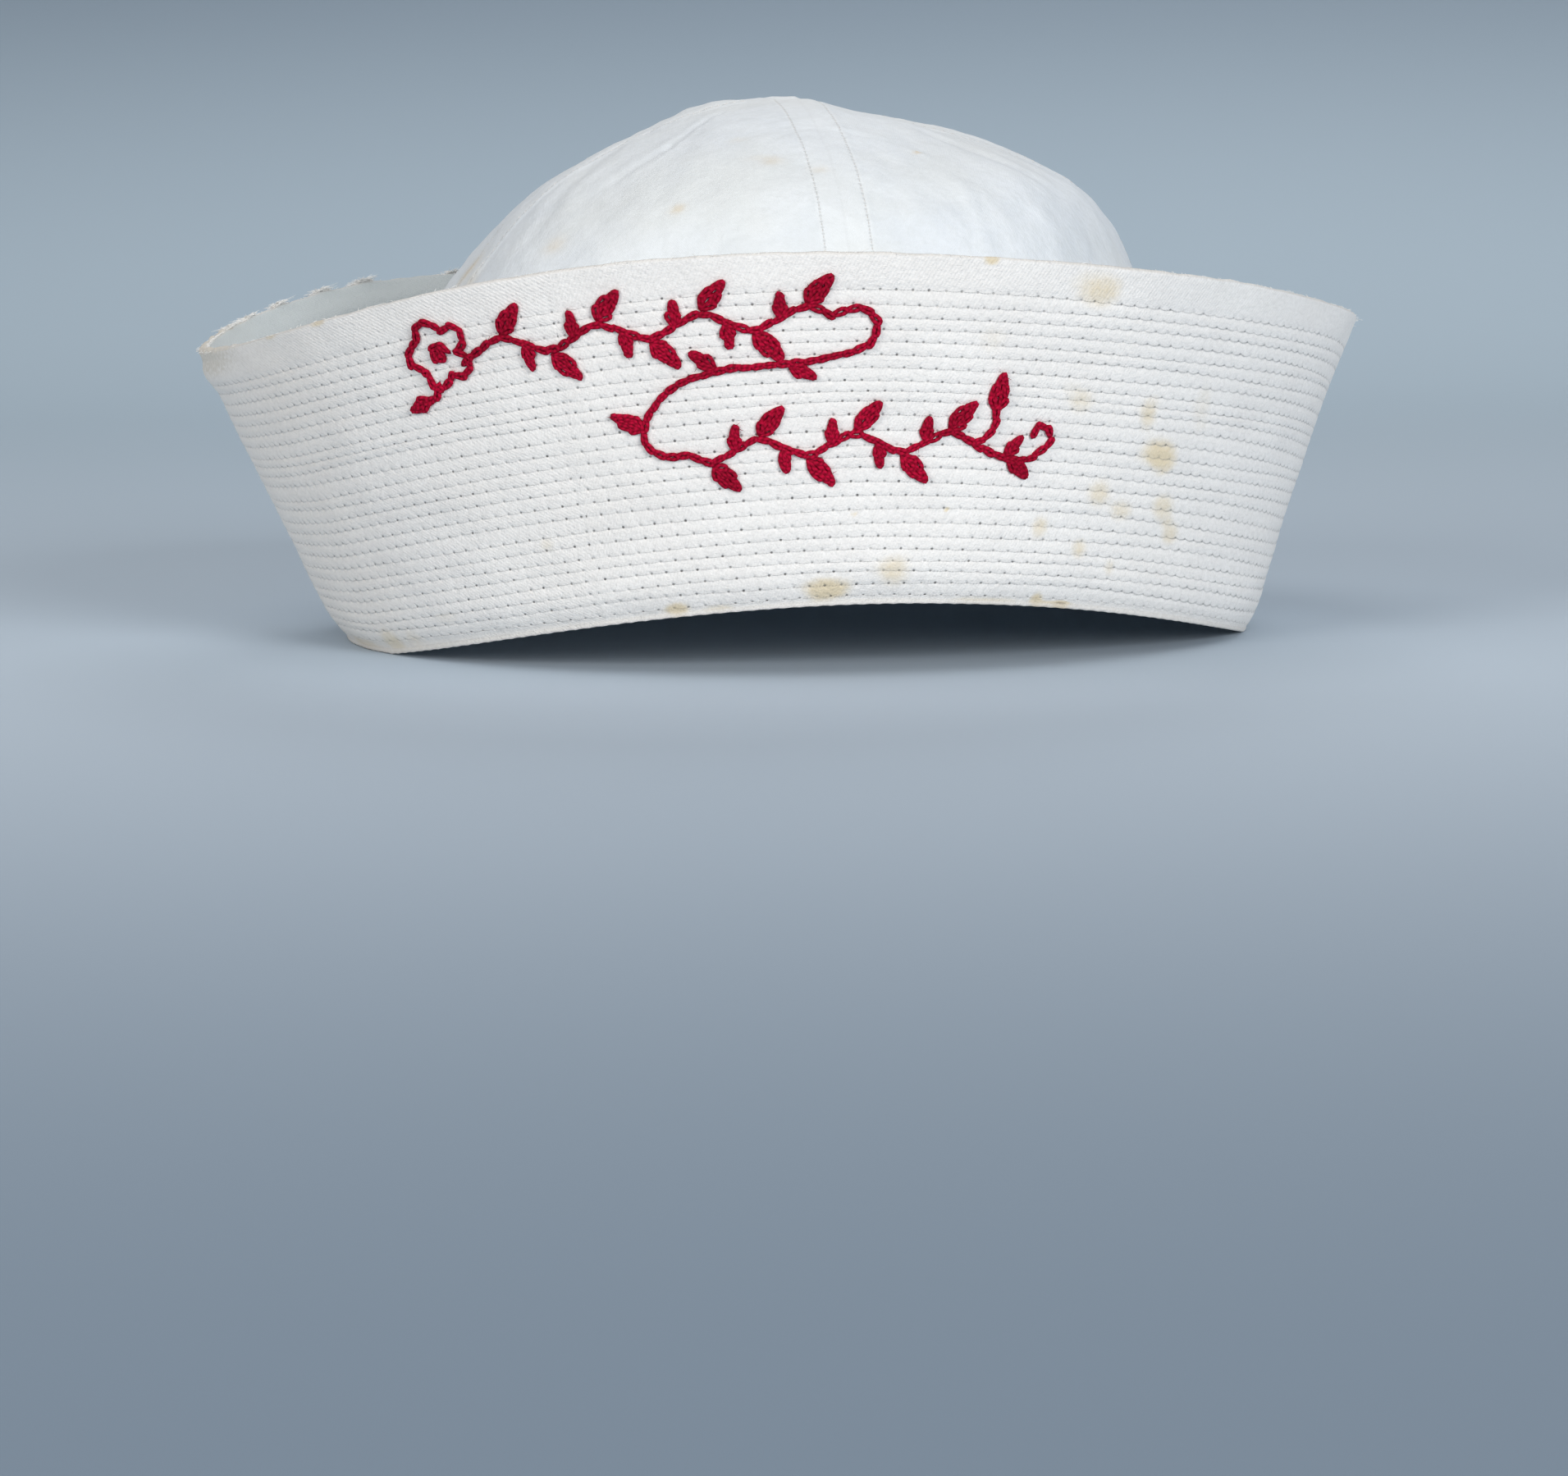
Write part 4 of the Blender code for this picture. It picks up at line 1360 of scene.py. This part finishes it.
def crown_cotton():
    """Thin plain cotton: a fine square weave, cool white with grey-green shadows of use."""
    material, tree, shader = new_material("crown_cotton")
    _, across, along = chart_of(tree, "cloth")
    _, seam, length = chart_of(tree, "seams")
    place = Wire.node(tree, "ShaderNodeTexCoord")["Object"]

    warp = (across * (2 * np.pi / WEAVE_PITCH)).maths("SINE")
    weft = (along * (2 * np.pi / WEAVE_PITCH)).maths("SINE")
    slubs = blotches(tree, place, 0.0016, 3.0)
    patches = blotches(tree, place, 0.014, 4.0, 0.62)
    broad = blotches(tree, place, 0.045, 3.0)

    beside = ((length / SEAM_PITCH).maths("FRACT") - 0.5) * (SEAM_PITCH * 1000)
    above = (seam - STITCH_LINE) * 1000.0
    off_hole = (beside * beside + above * above) ** 0.5
    hole = 1.0 - off_hole.from_to(0.10, 0.42)
    line = 1.0 - above.maths("ABSOLUTE").from_to(0.05, 0.40)
    strip = 1.0 - seam.from_to(STRIP_HALF - 0.0004, STRIP_HALF + 0.0002)
    join = 1.0 - seam.from_to(0.0001, 0.0005)

    stain = mark_of(tree, "stain") * (patches * 0.9 + slubs * 0.6)
    colour = layered(
        tree,
        (0.755, 0.805, 0.85),
        [
            (patches.from_to(0.40, 0.62), (0.71, 0.762, 0.81)),
            (broad.from_to(0.42, 0.72) * 0.6, (0.72, 0.75, 0.74)),
            (slubs.from_to(0.40, 0.66) * 0.22, (0.64, 0.68, 0.69)),
            (strip * 0.18, (0.83, 0.86, 0.87)),
            (stain, (0.66, 0.53, 0.33)),
            # Painted shade along both rows of stitches, and a faint dark line on the join.
            ((line * 0.10).maths("MAXIMUM", join * 0.06), (0.42, 0.43, 0.43)),
            # Painted shade in the needle holes.
            (hole * 0.25, (0.24, 0.25, 0.23)),
        ],
    )
    crumple = blotches(tree, place, 0.0055, 3.0, 0.6)
    height = warp * weft * 0.000016 + slubs * 0.00015 + patches * 0.00026
    height = height + crumple * 0.00018 - hole * 0.00006
    feed(tree, shader, colour, patches * 0.12 + 0.80, height, sheen=0.12)
    return material


COTTON = crown_cotton()
print(f"{COTTON.name}: {len(COTTON.node_tree.nodes)} nodes")

# %% [markdown]
# ## The four gores
# A crown is sewn from gores, because one flat cloth can't follow a dome. Each gore is a curved
# triangle from the fold to the top. One dome with painted seams would look much the same, but four
# pieces can be told apart and changed one by one. Its columns of points crowd beside the two seams,
# where the strip's edges are, and spread out between. All its rows meet in one point at the top.
# An inner face, the wall's thickness below, makes it a closed shell.

# %% The grid of a gore
GORE_ROWS = 150
TIP_GAP = 0.0008  # the last row is this far from the very top
LAP_STEPS = np.array([0, 0.35, 0.8, 2.0, 3.6, 4.2, 4.5, 4.8, 5.1, 5.5, 6.0]) / 1000
GORE_COLUMNS = 64


def gore_azimuths(start, end, climb):
    """Azimuths across a gore at each climb: crowded steps beside both seams, even ones between.
    Near the top, where there is no room, the crowded steps shrink to a third of the gore each."""
    _, share = crown_size(np.full_like(climb, (start + end) / 2), climb)
    radius = np.maximum(CROWN_HALF_WIDTH * share, 0.0002)
    room = (end - start) / 3
    lap = np.degrees(LAP_STEPS[None, :] / radius[:, None])
    lap = lap * np.minimum(1, room / lap[:, -1:])
    even = np.linspace(0, 1, GORE_COLUMNS)[None, :]
    middle = start + lap[:, -1:] + (end - start - 2 * lap[:, -1:]) * even
    return np.concatenate([start + lap[:, :-1], middle, end - lap[:, -2::-1]], axis=1)


def gore_shell(start, end):
    """Outer and inner grids of a gore, from the fold up, its charts and its stains."""
    climb = np.linspace(GORE_FOOT, TOP_CLIMB - TIP_GAP, GORE_ROWS)
    azimuth = gore_azimuths(start, end, climb)
    climb = climb[:, None] + 0 * azimuth
    point, facing, relief = crown_relief(azimuth, climb)
    outer = point + facing * relief[..., None]
    inner = point + facing * (relief - CROWN_WALL)[..., None]
    _, share = crown_size(azimuth, climb)
    turn = np.radians(azimuth - (start + end) / 2)
    charts = {
        "cloth": np.stack([turn * CROWN_HALF_WIDTH * share, climb], axis=-1),
        "seams": np.stack([to_nearest_seam(azimuth, share), climb], axis=-1),
    }
    return outer, inner, charts, crown_stains(azimuth, climb, share)


# %% Faces of a gore
def gore_faces(rows, columns):
    """Faces of both grids, of the strips that join their edges, and of the two fans and two ends
    round the tip. The inner grid's points follow the outer's, and the two tips come last."""
    size = rows * columns
    quads, _ = grid_faces(rows, columns)
    low = np.arange(columns)
    right, left = np.arange(rows) * columns + columns - 1, np.arange(rows) * columns
    faces = [quads, quads[:, ::-1] + size]
    for line, flip in ((low, True), (right, True), (left, False)):
        a, b = line[:-1], line[1:]
        strip = np.stack([a, b, b + size, a + size], axis=-1)
        faces.append(strip[:, ::-1] if flip else strip)
    top = left[-1] + low[:-1]
    tip, tip_under = 2 * size, 2 * size + 1
    faces.append(np.stack([top, top + 1, 0 * top + tip], axis=-1))
    faces.append(np.stack([top + size + 1, top + size, 0 * top + tip_under], axis=-1))
    faces.append(np.array([[left[-1], tip, tip_under, left[-1] + size]]))
    faces.append(np.array([[right[-1] + size, tip_under, tip, right[-1]]]))
    return faces


# %% Make the gores
TIP_CHART = {"cloth": [0, TOP_CLIMB], "seams": [0.003, TOP_CLIMB]}
starts = [seam for seam, _ in CROWN_SEAMS]
apex_point, _, apex_relief = crown_relief(np.zeros(1), np.array([TOP_CLIMB]))
apex = apex_point[0] + [0, 0, float(apex_relief[0])]
for (start, name), end in zip(CROWN_SEAMS, starts[1:] + [starts[0] + 360]):
    outer, inner, charts, stain = gore_shell(start, end)
    points = [outer.reshape(-1, 3), inner.reshape(-1, 3), [apex, apex - [0, 0, CROWN_WALL]]]
    charts = {
        key: np.concatenate([value.reshape(-1, 2)] * 2 + [[TIP_CHART[key]] * 2])
        for key, value in charts.items()
    }
    marks = {"stain": np.concatenate([stain.ravel()] * 2 + [[0, 0]])}
    faces, points = gore_faces(*stain.shape), np.concatenate(points)
    piece = make_piece(name + "_cloth", points, faces, COTTON, charts, None, marks, crisp=True)
    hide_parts(name)
    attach(piece, "root")

# %% [markdown]
# ## Sewing the seams of the crown
# Two rows of short stitches hold each strip down, about one every 1.6 mm. They are tubes like
# those of the brim, because a line painted on the cloth would vanish at the crown's outline. Each
# begins in one of the material's holes, which are counted along the same climb.

# %% Stitches of the crown
FINE_THREAD = 0.00011
parts = np.array([0.05, 0.5, 0.95])
sunk = np.array([-0.00014, 0.00001, -0.00014])
azimuths, climbs_of = [], []
for seam, _ in CROWN_SEAMS:
    for side in (-1, 1):
        holes = np.arange(3, int((TOP_CLIMB - 0.010) / SEAM_PITCH))
        climb = (holes[:, None] + 0.5 + parts) * SEAM_PITCH
        _, share = crown_size(np.full_like(climb, float(seam)), climb)
        azimuths.append(seam + side * np.degrees(STITCH_LINE / (CROWN_HALF_WIDTH * share)))
        climbs_of.append(climb)
azimuth, climb = np.concatenate(azimuths), np.concatenate(climbs_of)
point, facing, relief = crown_relief(azimuth, climb)
paths = point + facing * (relief + sunk)[..., None]
seam_stitches = tubes("crown_stitching", SEWING, paths, FINE_THREAD, 3, facing[:, 1:2])
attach(seam_stitches, "root")
print(f"{len(paths)} stitches on the crown")

# %% [markdown]
# ## The embroidery
# On the front is free chain stitching in crimson wool: a leafy vine in two staggered runs, joined
# by one long flourish. As an embroiderer would, it is drawn flat first, in millimetres: `x` along
# the front of the brim and `y` up from the fold. Stems are smooth lines through a few points, and
# a leaf is two arcs that meet in a tip, with a filled middle. Drawn this way, a stroke can be
# sewn in links of even length later, which a traced picture can't.

# %% Draw the vine
def smooth_line(points, spacing=0.25):
    """A curve through a few points, with a step about every `spacing` mm."""
    points = np.array(points, float)
    places = np.concatenate([[0], np.cumsum(np.linalg.norm(np.diff(points, axis=0), axis=1))])
    return curve_through(places, points, np.linspace(0, places[-1], int(places[-1] / spacing) + 2))


def leaf(x, y, angle, length, wide):
    """Two arcs from the stem to the tip, which bow by the sine of the way, and a short vein."""
    way = np.linspace(0, 1, 24)
    bow = wide * np.sin(np.pi * way**0.85) * (1 - 0.25 * way)
    turn = np.radians(angle)
    ahead, aside = np.array([np.cos(turn), np.sin(turn)]), np.array([-np.sin(turn), np.cos(turn)])
    middle = np.array([x, y]) + way[:, None] * length * ahead
    sides = [middle + side * bow[:, None] * aside for side in (1, -1)]
    return [sides[0], sides[1], middle[2:-5]]


def vine(start, end, base, swing, leaves, first_up=True):
    """A stem that swings up and down, with a large leaf at each bend and a small one between."""
    bends = np.linspace(start, end, leaves * 2 + 1)
    up = 1 if first_up else -1
    middle = [(x, base + swing * up * np.sin(np.pi * k / 2)) for k, x in enumerate(bends)]
    strokes = [smooth_line(middle)]
    for k in range(leaves):
        x, y = middle[2 * k + 1]
        way = np.sign(y - base)
        strokes += leaf(x + 0.2, y + 0.7 * way, 48 * way, 6.4, 1.5)
        x, y = middle[2 * k]
        if k:
            strokes += leaf(x, y, 86 * way, 4.4, 0.8)
    return strokes


def winding(x, y, size, turn):
    """A line round a centre, whose distance from it may change with the turn."""
    return np.stack([x + size * np.cos(turn), y + size * np.sin(turn)], axis=1)


def rosette(x, y, radius, petals):
    """A flower: a ring whose radius swells petals times by |sin|, round a coil that winds in."""
    turn = np.linspace(0, 2 * np.pi, 160)
    size = radius * (0.55 + 0.45 * np.abs(np.sin(petals * turn / 2)) ** 0.7)
    coil = np.linspace(0, 2 * np.pi * 1.6, 60)
    small = radius * 0.30 * np.linspace(1, 0.3, 60)
    return [winding(x, y, size, turn), winding(x, y, small, coil)]


# %% The vine's strokes
FLOWER_STALK = [(-60.6, 55.4), (-58.4, 56.6), (-56, 57.6)]
LOW_STALK = [(-66.6, 52.4), (-68.0, 50.2), (-70.4, 49.4)]
FLOURISH = [(9, 57.6), (13.2, 58.9), (17.0, 56.6), (16.0, 52.4), (8, 49.6), (-6, 48.7)]
FLOURISH += [(-16, 47.6), (-22.5, 44.6), (-26.2, 40.4), (-27.4, 35.6), (-24, 32.6), (-19.5, 32.6)]
UPPER_END = [(36, 32.6), (38.8, 33.6), (40.6, 36.4), (40.4, 39.4)]
TENDRIL = [(36, 32.6), (40.5, 30.4), (46.5, 29.2), (51.4, 31.2), (53.2, 34.8), (50.4, 36.6)]
TENDRIL += [(49.0, 34.2)]
strokes = [
    *vine(-56, 9, 57.6, 2.0, 7),
    *rosette(-64.8, 58.2, 7.0, 5),
    smooth_line(FLOWER_STALK),
    smooth_line(LOW_STALK),
    *leaf(-69.6, 49.8, 196, 4.6, 1.1),
    smooth_line(FLOURISH),
    *leaf(1.0, 48.6, -32, 4.8, 1.0),
    *leaf(-12.5, 48.8, 140, 4.8, 1.0),
    *leaf(-27.2, 38.5, 150, 6.0, 1.4),
    *vine(-19.5, 36, 32.6, 2.0, 6, first_up=False),
    smooth_line(UPPER_END),
    *leaf(40.4, 39.0, 84, 7.0, 1.7),
    smooth_line(TENDRIL),
    *leaf(44.2, 29.8, -40, 5.2, 1.2),
    *leaf(43.4, 30.2, 52, 4.4, 0.9),
]
print(f"The vine has {len(strokes)} strokes")

# %% [markdown]
# ## Chain stitch
# Each link is a loop of wool: both of its strands come up from one hole, part, and close again
# over the next hole, where the next link comes up inside it. A plain tube along the stroke would
# look like piping, so every link is a closed tube round a drop-shaped line. All links are
# computed together and laid on the outer face of the brim, and each is a little off its place, as
# hand sewing is.

# %% Places of the links
LINK = 2.4  # mm
UNSTEADY = 0.12  # mm that the hand is off, on the whole


def links_of(stroke):
    """Start and end of every link of a stroke: places at even distances along it."""
    run = np.concatenate([[0], np.cumsum(np.linalg.norm(np.diff(stroke, axis=0), axis=1))])
    count = max(1, int(round(run[-1] / LINK)))
    places = np.linspace(0, run[-1], count + 1)
    knots = np.stack([np.interp(places, run, stroke[:, i]) for i in (0, 1)], axis=1)
    return knots[:-1], knots[1:]


start, end = (np.concatenate(ends) for ends in zip(*map(links_of, strokes)))
rng = np.random.default_rng(5)
start = start + rng.normal(0, UNSTEADY, start.shape)
end = end + rng.normal(0, UNSTEADY, end.shape)
long = np.linalg.norm(end - start, axis=1, keepdims=True)
ahead = (end - start) / np.maximum(long, 1e-6)
aside = np.stack([-ahead[:, 1], ahead[:, 0]], axis=1)
print(f"{len(start)} chain links, {long.mean():.1f} mm long on the whole")

# %% Measures of a link
WOOL_RADIUS = 0.00040
FRONT_RADIUS = 112.0  # mm, to turn lengths along the front into azimuths
HALF_SPREAD, OVERLAP, HOLE_BEHIND = 0.47, 0.55, 0.10  # of a link, in mm
LIFT, DIP, RIDE_UP = 0.00030, 0.00034, 0.00016  # over the cloth, into its hole, over the next

# %% Sew the links
turn = np.linspace(0, 2 * np.pi, 12, endpoint=False)
way = (1 - np.cos(turn)) / 2  # 0 at the hole, 1 at the far end
spread = HALF_SPREAD * np.sin(turn) * (0.35 + 0.9 * way) * rng.uniform(0.75, 1.25, (len(start), 1))
reach = way * (long + OVERLAP) - HOLE_BEHIND
flat = start[:, None] + reach[..., None] * ahead[:, None] + spread[..., None] * aside[:, None]
azimuth, height = np.degrees(flat[..., 0] / FRONT_RADIUS), flat[..., 1] / 1000
point, _, out = outer_brim(azimuth, row_at(azimuth, height))
lift = LIFT - DIP * hump(way, 0.16) + RIDE_UP * way**3
paths = point + out * np.broadcast_to(lift, azimuth.shape)[..., None]
WOOL = thread_finish("crimson_wool", (0.53, 0.003, 0.042), (0.13, 0.0003, 0.006), 0.0011, 0.0)
embroidery = tubes("embroidery_vine", WOOL, paths, WOOL_RADIUS, 6, out[:, 6:7], closed=True)
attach(embroidery, "root")

# %% [markdown]
# ## Loose hairs of the wool
# Wool is hairy, so a row of clean tubes looks like plastic, even in matt red. Two short fibres
# for each link, which bend over from random places on it, break up its outline at the cost of few
# faces.

# %% Hairs on the links
HAIR_RADII = np.array([0.00007, 0.00006, 0.00005, 0.00002])
hairs = 2 * len(paths)
link, knot = rng.integers(0, len(paths), hairs), rng.integers(0, paths.shape[1], hairs)
foot, up = paths[link, knot], out[link, knot]
aside = rng.normal(size=(hairs, 3))
aside -= up * np.sum(aside * up, axis=1, keepdims=True)
length = rng.uniform(0.0005, 0.0011, (hairs, 1, 1))
bent = aside[:, None] * 0.55 * STEPS + up[:, None] * (0.9 * STEPS - 0.7 * STEPS**2)
bent = foot[:, None] + length * bent
wool_hairs = tubes("embroidery_hairs", WOOL, bent, HAIR_RADII, 3, up[:, None])
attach(wool_hairs, "root")
print(f"{hairs} hairs")

# %% [markdown]
# ## A plain studio
# The cap stands on a pale blue-grey floor that curves up into a wall all round, so that it has a
# plain background from every side. A flat plane would end in a hard horizon. The paint holds
# painted shade and light, in place of many small changes of light: it is darker in front of the
# cap, darkest where the panels' light would pool, lighter again on the wall behind the panels,
# and darker behind the cap and up the wall.

# %% Paint for the floor and the wall
# Painted shade and light on the floor, by distance in front of the cap.
PAINTED_LIGHT_AND_SHADE = [  # tints of the floor: from and to how many metres in front of the cap, and the colour
    (0.10, 0.62, (0.215, 0.28, 0.355)),
    (0.9, 2.0, (0.10, 0.13, 0.165)),
    (2.4, 3.4, (0.50, 0.60, 0.69)),
]


def studio_paint():
    """Matt paint with painted shade and light: pale under the cap, darker towards the camera and
    up the wall behind the cap, and lighter again behind the panels.
    """
    material, tree, shader = new_material("studio_paint")
    place = Wire.node(tree, "ShaderNodeTexCoord")["Object"]
    split = Wire.node(tree, "ShaderNodeSeparateXYZ", None, {0: place})
    in_front = split["Y"] * -1.0
    # Painted shade up the wall, except in front of the cap.
    wall = split["Z"].from_to(0.0, 0.42) * (1.0 - in_front.from_to(0.9, 2.0))
    layers = [(in_front.from_to(near, far), paint) for near, far, paint in PAINTED_LIGHT_AND_SHADE]
    # Painted shade on the floor behind the cap, then up the wall.
    layers += [(split["Y"].from_to(-0.1, 1.2), (0.45, 0.553, 0.635)), (wall, (0.128, 0.168, 0.222))]
    feed(tree, shader, layered(tree, (0.51, 0.60, 0.69), layers), 0.9, specular=0.1)
    return material


# %% The floor's shape
FLOOR_RADII = [0.0001, 0.4, 0.8, 1.1]
BEND_RADIUS, WALL_TOP = 1.5, 3.0
turns = np.linspace(0, 2 * np.pi, 96, endpoint=False)[:, None]
bend = np.radians(np.linspace(0, 90, 16))[1:]
wall_radius = FLOOR_RADII[-1] + BEND_RADIUS
radii = [FLOOR_RADII, FLOOR_RADII[-1] + BEND_RADIUS * np.sin(bend), [wall_radius]]
levels = [0 * np.array(FLOOR_RADII), BEND_RADIUS * (1 - np.cos(bend)), [WALL_TOP]]
radii, levels = np.concatenate(radii), np.concatenate(levels)
wide = radii * (1 + 1.4 * np.clip(-np.sin(turns), 0, 1) ** 1.5)  # room in front for the panels
studio = np.stack([wide * np.cos(turns), wide * np.sin(turns), levels + 0 * turns], axis=-1)
faces, _ = grid_faces(*studio.shape[:2], closed_rows=True)
middle = np.arange(len(turns))[None] * len(radii)
backdrop = make_piece("studio", studio.reshape(-1, 3), [faces, middle], studio_paint())

# %% [markdown]
# ## Light and camera
# White cloth shows its shape only in soft light from the side. Small lamps or a sun would give
# hard shadows, so two large panels stand in front, the right one stronger. A weak one above and
# one behind lift the top and the back, and a pale world fills the rest. The camera looks down by
# a few degrees.

# %% Soft panels
PANELS = [  # name, place, size in metres, power in watts, colour
    ("panel_right", (1.50, -2.54, 0.80), 1.1, 63.5, (1.0, 0.985, 0.975)),
    ("panel_left", (-1.80, -2.30, 0.85), 1.1, 38.5, (1.0, 0.935, 0.87)),
    ("panel_above", (-0.55, -0.25, 1.6), 1.2, 4.6, (1.0, 0.985, 0.975)),
    ("panel_behind", (0.3, 2.2, 1.5), 1.2, 18.0, (1.0, 0.985, 0.975)),
]
AIM = Vector((0, 0, 0.05))
for name, place, size, power, colour in PANELS:
    lamp = bpy.data.lights.new(name, "AREA")
    lamp.shape, lamp.size, lamp.energy, lamp.color = "SQUARE", size, power, colour
    panel = bpy.data.objects.new(name, lamp)
    panel.location = place
    panel.rotation_euler = (AIM - Vector(place)).to_track_quat("-Z", "Y").to_euler()
    panel.visible_camera = False
    bpy.context.scene.collection.objects.link(panel)
    print(f"{name}: {power} W")

# %% The light all round
world = bpy.data.worlds.new("soft_fill")
world.use_nodes = True
world.node_tree.nodes["Background"].inputs["Color"].default_value = (0.93, 0.92, 0.92, 1)
world.node_tree.nodes["Background"].inputs["Strength"].default_value = 0.38
bpy.context.scene.world = world
bpy.context.scene.view_settings.view_transform = "Standard"
print("Made the world", world.name)

# %% Camera
CAMERA_TILT = np.radians(7.0)
CAMERA_AWAY = 0.85
CAMERA_ROLL = 0.0103
PIXELS_PER_METRE = 147 / 0.0254  # of the photograph, at the cap's middle
PHOTO_WIDTH, SENSOR = 1911, 36.0  # pixels, and mm of the camera's sensor
target = np.array([0.0003, 0.0, -0.02345])
eye = target + CAMERA_AWAY * np.array([0, -np.cos(CAMERA_TILT), np.sin(CAMERA_TILT)])
lens = bpy.data.cameras.new("camera")
lens.sensor_width, lens.sensor_fit = SENSOR, "HORIZONTAL"
lens.lens = PIXELS_PER_METRE * CAMERA_AWAY / PHOTO_WIDTH * SENSOR
lens.clip_end = 20
camera = bpy.data.objects.new("camera", lens)
upright = Matrix.Rotation(np.pi / 2 - CAMERA_TILT, 4, "X")
camera.matrix_world = Matrix.Translation(eye) @ upright @ Matrix.Rotation(-CAMERA_ROLL, 4, "Z")
bpy.context.scene.collection.objects.link(camera)
bpy.context.scene.camera = camera
print(f"The camera is {eye[2]*1000:.0f} mm above the floor, with a {lens.lens:.1f} mm lens")
